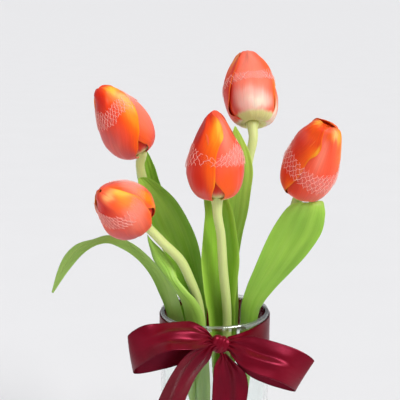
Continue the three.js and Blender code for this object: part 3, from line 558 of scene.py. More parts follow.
# petal colours, in the order in which they are mixed
TONES = {
    "body": (238, 56, 12), "coral": (250, 86, 54), "salmon": (255, 132, 106), "pale": (255, 192, 178), "rose": (216, 92, 88),
    "mauve": (200, 88, 96), "red": (220, 32, 5), "deep": (172, 14, 4), "orange": (255, 92, 2), "amber": (255, 146, 16),
    "yellow": (255, 184, 50), "straw": (252, 204, 120), "cream": (248, 226, 204), "green": (224, 220, 148), "olive": (132, 124, 34),
}


def petal_material(name, gloss):
    """Waxy tulip petal: the colours run into each other along the veins."""
    m = Nodes(name)
    across, along, seed = m.attr("across"), m.attr("along"), m.attr("seed")
    streaks = m.noise(m.vector(m.math("MULTIPLY", across, 26.0), m.math("MULTIPLY", along, 1.6), seed), 1.0, 4.0, 0.6)
    broad = m.noise(m.vector(m.math("MULTIPLY", across, 3.2), m.math("MULTIPLY", along, 2.2), m.math("ADD", seed, 7.0)), 1.0, 2.0, 0.5)
    swing = m.math("ADD", m.math("MULTIPLY", m.math("SUBTRACT", streaks, 0.5), 1.7), m.math("MULTIPLY", m.math("SUBTRACT", broad, 0.5), 1.1))
    veins = m.noise(m.vector(m.math("MULTIPLY", across, 70.0), m.math("MULTIPLY", along, 2.6), seed), 1.0, 3.0, 0.5)
    colour = None
    for tone, display in TONES.items():
        if colour is None:
            colour = lin(*display)
            continue
        f = m.attr("tone_" + tone)
        # the noise moves a boundary only, so that full and empty areas stay so
        unsure = m.math("MULTIPLY", f, m.math("SUBTRACT", 1.0, f))
        f = m.math("ADD", f, m.math("MULTIPLY", unsure, swing), clamp=True)
        colour = m.mix(f, colour, lin(*display))
    fine = m.step(veins, 0.35, 0.7, 0.93, 1.05)
    colour = m.mix(1.0, colour, m.vector(fine, fine, fine), "MULTIPLY")
    m.set(Base_Color=colour, Roughness=m.step(streaks, 0.2, 0.8, gloss, gloss + 0.12))
    m.bsdf.inputs["Specular IOR Level"].default_value = 0.22
    m.bsdf.inputs["Sheen Weight"].default_value = 0.04
    m.bsdf.inputs["Sheen Roughness"].default_value = 0.45
    m.bsdf.inputs["Subsurface Weight"].default_value = 0.18
    m.bsdf.inputs["Subsurface Radius"].default_value = (1.0, 0.35, 0.12)
    m.bsdf.inputs["Subsurface Scale"].default_value = 0.0025
    m.bump(m.math("ADD", veins, m.math("MULTIPLY", streaks, 0.8)), 0.5, 0.16)
    return m.material


def sheer_material(name):
    """Very fine mesh, too fine to see its holes: it only pales what lies under it."""
    m = Nodes(name)
    where = m.place()
    veil = m.attr("veil")
    patch = m.noise(where, 420.0, 3.0, 0.6)
    weave = m.noise(where, 2600.0, 2.0, 0.6)
    cover = m.math("ADD", m.step(patch, 0.3, 0.7, 0.06, 0.17), m.step(weave, 0.3, 0.7, -0.03, 0.04))
    m.set(Base_Color=lin(255, 206, 200), Roughness=0.7, Alpha=m.math("MULTIPLY", cover, veil))
    m.bsdf.inputs["Specular IOR Level"].default_value = 0.1
    return m.material


def leaf_material(name):
    """Tulip leaf: smooth and slightly grey green, with fine parallel veins; its light and dark mixes carry the paler
    edges and darker areas, in places painted light and painted shade.
    """
    m = Nodes(name)
    across, along, seed = m.attr("across"), m.attr("along"), m.attr("seed")
    grey, light, dark = m.attr("grey"), m.attr("light"), m.attr("dark")
    veins = m.noise(m.vector(m.math("MULTIPLY", across, 34.0), m.math("MULTIPLY", along, 1.2), seed), 1.0, 4.0, 0.62)
    fine = m.noise(m.vector(m.math("MULTIPLY", across, 95.0), m.math("MULTIPLY", along, 3.0), seed), 1.0, 2.0, 0.5)
    patch = m.noise(m.vector(m.math("MULTIPLY", across, 1.6), m.math("MULTIPLY", along, 5.0), seed), 1.0, 3.0, 0.5)
    colour = m.mix(m.step(patch, 0.3, 0.7), lin(130, 186, 34), lin(152, 202, 52))
    colour = m.mix(dark, colour, lin(84, 142, 8))
    colour = m.mix(light, colour, lin(190, 224, 100))
    colour = m.mix(grey, colour, lin(146, 176, 106))
    colour = m.mix(m.step(veins, 0.42, 0.66, 0.0, 0.22), colour, lin(176, 208, 98))
    shade = m.step(fine, 0.3, 0.72, 0.87, 1.06)
    colour = m.mix(1.0, colour, m.vector(shade, shade, shade), "MULTIPLY")
    m.set(Base_Color=colour, Roughness=m.step(veins, 0.2, 0.8, 0.34, 0.46))
    m.bsdf.inputs["Specular IOR Level"].default_value = 0.34
    m.bsdf.inputs["Sheen Weight"].default_value = 0.03
    m.bsdf.inputs["Sheen Roughness"].default_value = 0.4
    m.bsdf.inputs["Subsurface Weight"].default_value = 0.12
    m.bsdf.inputs["Subsurface Radius"].default_value = (0.5, 1.0, 0.2)
    m.bsdf.inputs["Subsurface Scale"].default_value = 0.0015
    m.bump(m.math("ADD", veins, m.math("MULTIPLY", fine, 0.5)), 0.45, 0.14)
    return m.material


def stem_material(name):
    m = Nodes(name)
    across, along, seed = m.attr("across"), m.attr("along"), m.attr("seed")
    streak = m.noise(m.vector(m.math("MULTIPLY", across, 9.0), m.math("MULTIPLY", along, 5.0), seed), 1.0, 4.0, 0.6)
    fine = m.noise(m.vector(m.math("MULTIPLY", across, 40.0), m.math("MULTIPLY", along, 9.0), seed), 1.0, 2.0, 0.5)
    colour = m.mix(m.step(along, 0.3, 0.95), lin(112, 152, 36), lin(208, 218, 142))
    colour = m.mix(m.step(streak, 0.35, 0.75, 0.0, 0.35), colour, lin(180, 204, 108))
    colour = m.mix(m.step(fine, 0.5, 0.8, 0.0, 0.35), colour, lin(226, 232, 170))
    m.set(Base_Color=colour, Roughness=m.step(streak, 0.2, 0.8, 0.34, 0.46))
    m.bsdf.inputs["Specular IOR Level"].default_value = 0.4
    m.bsdf.inputs["Subsurface Weight"].default_value = 0.15
    m.bsdf.inputs["Subsurface Radius"].default_value = (0.6, 1.0, 0.25)
    m.bsdf.inputs["Subsurface Scale"].default_value = 0.002
    m.bump(m.math("ADD", streak, m.math("MULTIPLY", fine, 0.4)), 0.4, 0.12)
    return m.material


def pistil_material(name):
    m = Nodes(name)
    part, where = m.attr("part"), m.place()
    grain = m.noise(where, 900.0, 3.0, 0.6)
    colour = m.mix(m.step(part, 0.4, 0.6), lin(196, 208, 122), lin(232, 214, 120))
    colour = m.mix(m.step(part, 1.4, 1.6), colour, lin(58, 38, 52))
    colour = m.mix(m.step(grain, 0.45, 0.75, 0.0, 0.5), colour, lin(222, 206, 130))
    m.set(Base_Color=colour, Roughness=m.step(grain, 0.3, 0.7, 0.5, 0.8))
    m.bump(grain, 0.6, 0.2)
    return m.material


def net_material(name):
    m = Nodes(name)
    twist = m.noise(m.place(), 2400.0, 2.0, 0.6)
    colour = m.mix(m.step(twist, 0.35, 0.7), lin(250, 184, 170), lin(255, 204, 192))
    m.set(Base_Color=colour, Roughness=m.step(twist, 0.3, 0.7, 0.5, 0.7))
    m.bump(twist, 0.5, 0.08)
    return m.material


def satin_material(name, gloss=0.85):
    """Burgundy satin: long floats across the ribbon, a soft directional gloss and woven selvedges."""
    m = Nodes(name)
    across, along = m.attr("across"), m.attr("along")
    floats = m.noise(m.vector(m.math("MULTIPLY", across, 90.0), m.math("MULTIPLY", along, 0.9), 3.0), 1.0, 3.0, 0.55)
    threads = m.noise(m.vector(m.math("MULTIPLY", across, 12.0), m.math("MULTIPLY", along, 6.0), 9.0), 1.0, 3.0, 0.55)
    slow = m.noise(m.place(), 38.0, 3.0, 0.5)
    edge = m.step(m.math("ABSOLUTE", across), 0.90, 0.95)
    colour = m.mix(m.step(slow, 0.35, 0.65), lin(82, 2, 13), lin(102, 4, 20))
    colour = m.mix(m.step(floats, 0.45, 0.8, 0.0, 0.25), colour, lin(128, 10, 34))
    colour = m.mix(m.math("MULTIPLY", edge, 0.45), colour, lin(62, 1, 11))
    rough = m.step(floats, 0.25, 0.75, 0.26, 0.36)
    m.set(Base_Color=colour, Roughness=rough)
    m.bsdf.inputs["Specular IOR Level"].default_value = gloss
    m.bsdf.inputs["Specular Tint"].default_value = lin(255, 92, 132)
    m.bsdf.inputs["Anisotropic"].default_value = 0.2
    m.bsdf.inputs["IOR"].default_value = 1.5 if gloss > 0.5 else 1.28
    m.bsdf.inputs["Sheen Weight"].default_value = 0.04
    m.bsdf.inputs["Sheen Roughness"].default_value = 0.35
    m.bsdf.inputs["Sheen Tint"].default_value = lin(255, 120, 150)
    weave = m.math("ADD", m.math("MULTIPLY", floats, 0.5), m.math("ADD", m.math("MULTIPLY", threads, 0.8), m.math("MULTIPLY", edge, 0.5)))
    m.bump(weave, 0.35, 0.10)
    return m.material


def glass_material(name):
    """Clear glass. Light from the lamps and from what is around passes straight through it."""
    m = Nodes(name)
    where = m.place()
    streak = m.noise(where, 22.0, 2.0, 0.5)
    tint = m.mix(m.step(streak, 0.35, 0.65), lin(246, 251, 249), lin(250, 253, 252))
    m.set(Base_Color=tint, Roughness=m.step(streak, 0.2, 0.8, 0.0, 0.012))
    m.bsdf.inputs["Transmission Weight"].default_value = 1.0
    m.bsdf.inputs["IOR"].default_value = 1.47
    m.bsdf.inputs["Specular IOR Level"].default_value = 0.25
    clear = m.tree.nodes.new("ShaderNodeBsdfTransparent")
    clear.inputs["Color"].default_value = (0.95, 0.965, 0.96, 1)
    # the fire-polished rim catches the light and lets the rest straight through
    height = m.tree.nodes.new("ShaderNodeSeparateXYZ")
    m.tree.links.new(where, height.inputs[0])
    rim = m.step(height.outputs[2], 0.1950, 0.1980, 0.0, 0.8)
    shine = m.tree.nodes.new("ShaderNodeBsdfGlossy")
    shine.inputs["Color"].default_value = (0.96, 0.98, 0.97, 1)
    shine.inputs["Roughness"].default_value = 0.09
    polished = m.tree.nodes.new("ShaderNodeMixShader")
    polished.inputs[0].default_value = 0.34
    m.tree.links.new(clear.outputs[0], polished.inputs[1])
    m.tree.links.new(shine.outputs[0], polished.inputs[2])
    body = m.tree.nodes.new("ShaderNodeMixShader")
    m.tree.links.new(rim, body.inputs[0])
    m.tree.links.new(m.bsdf.outputs[0], body.inputs[1])
    m.tree.links.new(polished.outputs[0], body.inputs[2])
    path = m.tree.nodes.new("ShaderNodeLightPath")
    both = m.math("MAXIMUM", path.outputs["Is Shadow Ray"], path.outputs["Is Diffuse Ray"])
    pick = m.tree.nodes.new("ShaderNodeMixShader")
    m.tree.links.new(both, pick.inputs[0])
    m.tree.links.new(body.outputs[0], pick.inputs[1])
    m.tree.links.new(clear.outputs[0], pick.inputs[2])
    m.tree.links.new(pick.outputs[0], m.output.inputs[0])
    return m.material


def floor_material(name):
    m = Nodes(name)
    grain = m.noise(m.place(), 7.0, 3.0, 0.5)
    colour = m.mix(m.step(grain, 0.3, 0.7), lin(229, 229, 231), lin(230, 230, 232))
    m.set(Base_Color=colour, Roughness=0.75)
    m.bsdf.inputs["Specular IOR Level"].default_value = 0.2
    return m.material


PETAL_OUTER = petal_material("petal_outer", 0.36)
PETAL_INNER = petal_material("petal_inner", 0.42)
LEAF = leaf_material("leaf_green")
STEM = stem_material("stem_green")
PISTIL = pistil_material("pistil")
NET = net_material("net_thread")
SHEER = sheer_material("net_sheer")
SATIN = satin_material("burgundy_satin")
SATIN_TAUT = satin_material("burgundy_satin_taut", 0.3)
GLASS = glass_material("clear_glass")
FLOOR = floor_material("pale_floor")


# ---------------------------------------------------------------- flowers
NAMES = dict(a="left_upper", b="left_lower", c="center", d="top", e="right")
OPEN = dict(a=1.5, b=0.5, c=0.0, d=1.0, e=2.6)
PETAL_SPREAD = [(0, 50), (0.12, 50), (0.3, 57), (0.5, 64), (0.65, 64), (0.8, 52), (0.9, 38), (1, 15)]
# where the top of each bloom begins to close, how many mm it still rises, and how blunt it is
SHOULDER = dict(a=0.3, b=0.2, c=0.7, d=0.8, e=0.4)
TIP = dict(a=(0.965, 3.6, 1.9), b=(0.965, 3.4, 1.9), c=(0.91, 5.8, 1.35), d=(0.965, 4.2, 1.8), e=(0.965, 2.8, 1.9))
# each petal's left margin, midrib and right margin around the bloom (degrees from the front, to the right
# positive) at stations along it, and how far up the bloom it reaches
# real blooms aren't round: how much further out each side lies at five stations, and how far the tip drifts, in mm
SWELL_AT = [0.0, 0.2, 0.45, 0.7, 1.0]
SWELL = dict(
    a=dict(front=[-0.091, -0.086, -0.057, -0.024, 0.007], right=[-0.061, -0.054, -0.011, 0.101, 0.138], back=[-0.011, 0.007, 0.028, 0.055, 0.073], left=[-0.047, -0.035, -0.015, -0.071, -0.157], drift=[3.47, -1.47]),
    b=dict(front=[-0.122, -0.16, -0.159, -0.102, -0.035], right=[-0.16, -0.1, 0.025, 0.088, 0.133], back=[-0.034, 0.006, 0.056, 0.124, 0.152], left=[0.092, 0.074, 0.026, -0.065, -0.045], drift=[4.3, -0.13]),
    c=dict(front=[-0.055, -0.047, -0.028, -0.01, 0.006], right=[-0.091, -0.087, -0.06, -0.032, 0.047], back=[-0.001, 0.001, 0.003, 0.006, 0.007], left=[-0.041, -0.004, 0.037, -0.007, -0.038], drift=[1.69, 0.32]),
    d=dict(front=[0.001, 0.0, -0.0, -0.001, -0.023], right=[0.155, 0.103, 0.006, -0.001, 0.16], back=[-0.093, -0.104, -0.076, -0.037, 0.002], left=[-0.16, -0.159, -0.075, 0.085, 0.30], drift=[-3.12, -0.54]),
    e=dict(front=[0.007, 0.003, 0.005, -0.002, -0.005], right=[0.005, -0.033, -0.071, -0.066, 0.021], back=[-0.005, -0.006, -0.005, 0.001, -0.005], left=[-0.052, -0.035, -0.0, 0.09, 0.26], drift=[3.2, 0.48]),
)
FULLER = dict(e=0.24)
OUTER = dict(
    a=[dict(reach=1.07, track=[(0, -104, -46, -8), (0.15, -116, -46, -10), (0.3, -126, -44, -6), (0.37, -128, -42, 9), (0.43, -130, -38, 18),
                                (0.49, -131, -34, 30), (0.56, -132, -29, 40), (0.62, -133, -25, 50), (0.68, -134, -20, 58), (0.75, -135, -14, 68),
                                (0.84, -136, -4, 84), (0.92, -138, 14, 88), (1, -144, 32, 108), (1.07, -152, 45, 150)]),
       dict(reach=0.97, track=[(0, 22, 76, 124), (0.15, 38, 78, 128), (0.21, 41, 79, 130), (0.32, 38, 80, 135), (0.38, 28, 80, 138), (0.43, 20, 80, 140),
                               (0.49, 12, 80, 142), (0.65, 20, 82, 142), (0.8, 44, 86, 128), (0.9, 60, 92, 116), (1, 84, 96, 108)]),
       dict(reach=0.97, track=[(0, 136, 190, 244), (0.3, 134, 190, 244), (0.5, 130, 189, 240), (0.65, 130, 189, 240), (0.8, 134, 190, 240), (0.9, 136, 192, 238), (1, 140, 194, 236)])],
    b=[dict(reach=1.07, track=[(0, -84, -28, 18), (0.15, -100, -28, 20), (0.3, -122, -24, 28), (0.4, -130, -20, 39), (0.45, -134, -17, 45), (0.52, -136, -12, 48),
                              (0.58, -138, -8, 52), (0.65, -138, -5, 60), (0.71, -138, -3, 64), (0.79, -138, -3, 67), (0.86, -140, -12, 71), (0.94, -142, -24, 78),
                              (1, -148, -36, 92), (1.07, -160, -44, 130)]),
       dict(reach=1.05, track=[(0, 46, 98, 148), (0.2, 66, 100, 152), (0.33, 68, 100, 156), (0.4, 65, 100, 158), (0.46, 57, 100, 160), (0.52, 50, 100, 160),
                               (0.6, 40, 102, 164), (0.68, 42, 105, 166), (0.8, 54, 110, 168), (0.9, 64, 116, 170), (1, 78, 122, 174)]),
       dict(reach=1.05, track=[(0, 160, 208, 252), (0.3, 156, 206, 246), (0.5, 150, 203, 240), (0.65, 150, 202, 240), (0.8, 152, 202, 240), (0.9, 154, 202, 238), (1, 156, 202, 236)])],
    c=[dict(reach=1.03, track=[(0, -116, -66, -18), (0.15, -118, -66, -17), (0.29, -126, -66, -12), (0.42, -132, -62, -3), (0.53, -132, -56, -2), (0.6, -128, -50, 0),
                                (0.68, -118, -44, 8), (0.75, -108, -40, 21), (0.83, -108, -38, 24), (0.92, -112, -48, 16), (1, -116, -60, -16)]),
       dict(reach=1.07, track=[(0, 18, 62, 106), (0.18, 22, 62, 110), (0.27, 22, 62, 112), (0.35, 10, 60, 112), (0.42, -4, 58, 110), (0.54, -12, 54, 100),
                              (0.65, -16, 44, 78), (0.73, -24, 32, 55), (0.79, -32, 24, 49), (0.86, -40, 14, 50), (0.93, -44, 2, 45), (0.97, -56, -4, 46), (1, -76, -4, 55), (1.07, -130, -4, 120)]),
       dict(reach=1.03, track=[(0, 128, 180, 232), (0.3, 122, 181, 238), (0.5, 114, 180, 240), (0.62, 92, 176, 240), (0.7, 56, 168, 236), (0.8, 42, 160, 230), (0.9, 44, 150, 226), (1, 56, 148, 226)])],
    d=[dict(reach=1.07, track=[(0, -54, 4, 62), (0.16, -62, 4, 66), (0.28, -66, 2, 58), (0.36, -62, 1, 54), (0.43, -60, 2, 52), (0.5, -60, 2, 57),
                              (0.58, -58, 2, 67), (0.65, -56, 2, 70), (0.72, -50, 2, 72), (0.8, -42, 2, 72), (0.9, -38, 2, 68), (1, -50, 2, 72), (1.07, -120, 2, 120)]),
       dict(reach=1.02, track=[(0, 66, 118, 170), (0.15, 72, 120, 174), (0.28, 64, 121, 178), (0.36, 65, 121, 180), (0.42, 62, 121, 182), (0.5, 54, 121, 184), (0.65, 52, 121, 184),
                                (0.8, 66, 120, 174), (0.9, 68, 120, 172), (1, 72, 120, 168)]),
       dict(reach=1.02, track=[(0, -174, -122, -42), (0.15, -177, -124, -48), (0.24, -178, -124, -56), (0.28, -179, -124, -68), (0.32, -180, -124, -76), (0.36, -181, -122, -73), (0.4, -182, -121, -60), (0.44, -183, -119, -52), (0.5, -184, -116, -47), (0.63, -182, -108, -39),
                                (0.7, -176, -104, -34), (0.8, -170, -100, -31), (0.9, -168, -100, -34), (1, -166, -102, -46)])],
    e=[dict(reach=1.035, track=[(0, -150, -100, -52), (0.2, -154, -100, -54), (0.34, -158, -99, -44), (0.43, -158, -95, -33), (0.51, -156, -92, -26), (0.6, -152, -88, -24),
                              (0.68, -144, -82, -21), (0.75, -138, -76, -8), (0.8, -136, -74, -4), (0.89, -132, -72, -12), (0.96, -128, -72, -17), (1, -124, -72, -20)]),
       dict(reach=1.03, track=[(0, -32, 24, 76), (0.2, -42, 25, 82), (0.34, -46, 26, 90), (0.45, -46, 27, 94), (0.6, -46, 28, 95), (0.75, -36, 29, 92), (0.84, -30, 30, 90),
                                (0.92, -24, 30, 84), (0.97, -20, 32, 82), (1, -18, 33, 84)]),
       dict(reach=1.045, track=[(0, 98, 150, 202), (0.3, 94, 152, 208), (0.5, 88, 152, 214), (0.65, 88, 152, 214), (0.8, 94, 152, 212), (0.9, 82, 152, 222), (1, 78, 152, 228)])],
)
INNER = dict(
    a=[(6, 8), (126, 0), (246, 0)], b=[(33, 4), (153, 0), (273, 0)], c=[(-4, 6), (118, 0), (242, 0)],
    d=[(62, 0), (182, 0), (302, 0)], e=[(-24, 6), (96, 0), (216, 0)])
# the net's lower and upper edge, in petal stations
NET_SPAN = dict(a=(0.52, 0.67), b=(0.55, 0.72), c=(0.53, 0.66), d=(0.55, 0.67), e=(0.47, 0.66))
# pale foot of the outer petals: where the cream ends, and the green
FOOT = dict(a=(0.16, 0.10), b=(0.16, 0.10), c=(0.18, 0.12), d=(0.30, 0.28), e=(0.20, 0.12))
INNER_INSET = 2.9
SPIRAL = 0.7


class Bloom:
    def __init__(self, key):
        seat = BLOOM_SEATS[key]
        self.key = key
        self.base = np.array(seat["base"], float)
        self.axis = np.array(seat["axis"], float)
        self.axis /= np.linalg.norm(self.axis)
        front = np.array([0, -1.0, 0])
        front -= self.axis * front.dot(self.axis)
        self.front = front / np.linalg.norm(front)
        self.right = np.cross(self.axis, self.front)
        self.wide, self.tall = seat["radius"] / 20, seat["length"] / 62
        self.open = OPEN[key]

    def point(self, u):
        n = len(BLOOM_PROFILE) - 1
        p = catmull(BLOOM_PROFILE, u)
        share = u / n
        r = p[:, 0] * np.where(u < 0.8, 1.0, self.wide) + self.open * smooth((share - 0.55) / 0.45)
        return r, p[:, 1] * self.tall

    def outline(self, t):
        """Radius, height and outward normal at stations t."""
        n = len(BLOOM_PROFILE) - 1
        t = np.asarray(t, float)
        # near its end a petal folds over the top of the bloom
        start, rise, point = TIP[self.key]
        (r0,), (z0,) = (q.tolist() for q in self.point(np.array([start * n])))

        def at(q):
            r, z = self.point(np.clip(q, 0, start) * n)
            over = np.clip((q - start) / (1.075 - start), 0, 1)
            return np.where(q > start, r0 * (1 - 0.97 * over), r), z + np.where(q > start, rise * (1 - (1 - over) ** point), 0)

        r, z = at(t)
        (ra, za), (rb, zb) = at(np.maximum(0, t - 0.012)), at(t + 0.012)
        dr, dz = rb - ra, zb - za
        ln = np.maximum(np.hypot(dr, dz), 1e-6)
        return r, z, dz / ln, -dr / ln

    def place(self, angle, r, z, t=0.0):
        angle, r, z, t = np.broadcast_arrays(angle, r, z, t)
        swell = 1.0
        for k, side in enumerate(("front", "right", "back", "left")):
            swell = swell + np.interp(t, SWELL_AT, SWELL[self.key][side]) * np.maximum(0, np.cos(angle - k * math.pi / 2)) ** 1.5 * (t > 0)
        # a fuller shoulder below the tip, on the left
        full = FULLER.get(self.key, 0.0)
        if full:
            near = np.clip(1 - np.abs(t - 0.855) / 0.25, 0, 1)
            swell = swell + full * near * near * (3 - 2 * near) * np.maximum(0, np.cos(angle - 3 * math.pi / 2)) ** 1.5
        drift = SWELL[self.key]["drift"]
        return (self.base + self.axis * z[..., None] + self.front * (r * swell * np.cos(angle) + drift[0] * t ** 2)[..., None]
                + self.right * (r * swell * np.sin(angle) + drift[1] * t ** 2)[..., None])


def petal(name, bloom, track, reach, inner, number):
    rows, cols = (66, 46) if not inner else (38, 26)
    w = np.linspace(0, 1, rows + 1)
    t = reach * (w ** 0.92)
    s = np.linspace(-1, 1, cols + 1)
    s = np.sign(s) * (1 - (1 - np.abs(s)) ** 1.15)
    lo, mid, hi = table_at(track, np.minimum(t, track[-1][0]))
    # the end of the petal rounds off
    blunt = 0.95 if reach > 0.99 else 0.90
    blunt = 0.985 if inner and reach > 1 else blunt
    tipround = np.sqrt(np.clip(1 - ((t / reach - blunt) / (1 - blunt)).clip(0, 1) ** 2, 0.02, 1))
    lo, hi = mid + (lo - mid) * tipround, mid + (hi - mid) * tipround
    S, T = np.meshgrid(s, t)
    W = T / reach
    az = np.where(S < 0, mid[:, None] + (mid - lo)[:, None] * S, mid[:, None] + (hi - mid)[:, None] * S) * DEG
    r, z, nr, nz = (q[:, None] for q in bloom.outline(t))
    rng = np.random.RandomState(1000 + number)
    p1, p2, p3 = rng.rand(3) * 6.28
    # how far the outer face lies from the bloom's outline: a keel up the midrib, a groove on it low down,
    # hollow flanks, wavy margins and a margin that lifts where it lies over its neighbour
    keel = ramp(W, 0.45, 0.85) * (1.25 if not inner else 0.8) * (1 - 0.85 * ramp(T, 0.88, 1.0))
    lift = SPIRAL * S * smooth(T / 0.12) * (1 - 0.65 * ramp(T, 0.85, 1.0))
    off = -keel * 4 * np.abs(S) * (1 - np.abs(S)) * 0.9
    off = off - 0.30 * np.exp(-(S / 0.07) ** 2) * ramp(W, 0.08, 0.2) * (1 - ramp(W, 0.6, 0.85))
    off = off + 0.10 * np.cos(S * 9 + p1) * ramp(W, 0.1, 0.3) + 0.12 * np.sin(W * 11 + S * 3 + p2) * np.abs(S)
    margin_wave = 0.28 * np.sin(W * 17 + p3) * ramp(np.abs(S), 0.75, 1.0) * ramp(W, 0.15, 0.4)
    off = off + margin_wave * np.where(S > 0, 1, 0.35)
    off = off - 0.35 * ramp(W, 0.9, 1.0) + (0.0 if inner else SHOULDER[bloom.key]) * ramp(T, 0.5, 0.8)
    inset = (INNER_INSET - 0.9 * (1 - ramp(T, 0.12, 0.3)) if bloom.key != "d" else 1.5) + 0.5 * ramp(T, 0.6, 1.0) + 0.8 * ramp(T, 0.8, 0.98) if inner else 0.0
    if inner and bloom.key in "be":
        inset = inset - 2.3 * ramp(T, 0.72, 0.94)
    if inner and bloom.key == "d":
        # shallow where it shows between two outer petals
        inset = inset - 0.75 * np.exp(-(((np.degrees(az) + 60 + 180) % 360 - 180) / 20) ** 2) * ramp(T, 0.18, 0.26) * (1 - ramp(T, 0.42, 0.55))
    thick = (0.24 + 0.56 * (1 - np.abs(S) ** 5)) * (1 - 0.45 * ramp(W, 0.55, 1.0)) + 0.25 * (1 - ramp(W, 0.0, 0.1))

    def face(depth):
        d = off - inset - depth
        radius = np.maximum(r + nr * d + lift, 0.25)
        return bloom.place(az, radius, z + nz * d, np.minimum(t, 1.0)[:, None])

    front, back = face(0.0), face(thick)
    tones = paint(bloom.key, number % 10, inner, S, T, W, np.degrees(az), rng)
    attrs = {k: (v, v) for k, v in tones.items()}
    attrs.update(across=(S, S), along=(W, W), seed=(number * 1.7, number * 1.7 + 5))
    return shell(name, front, back, attrs)


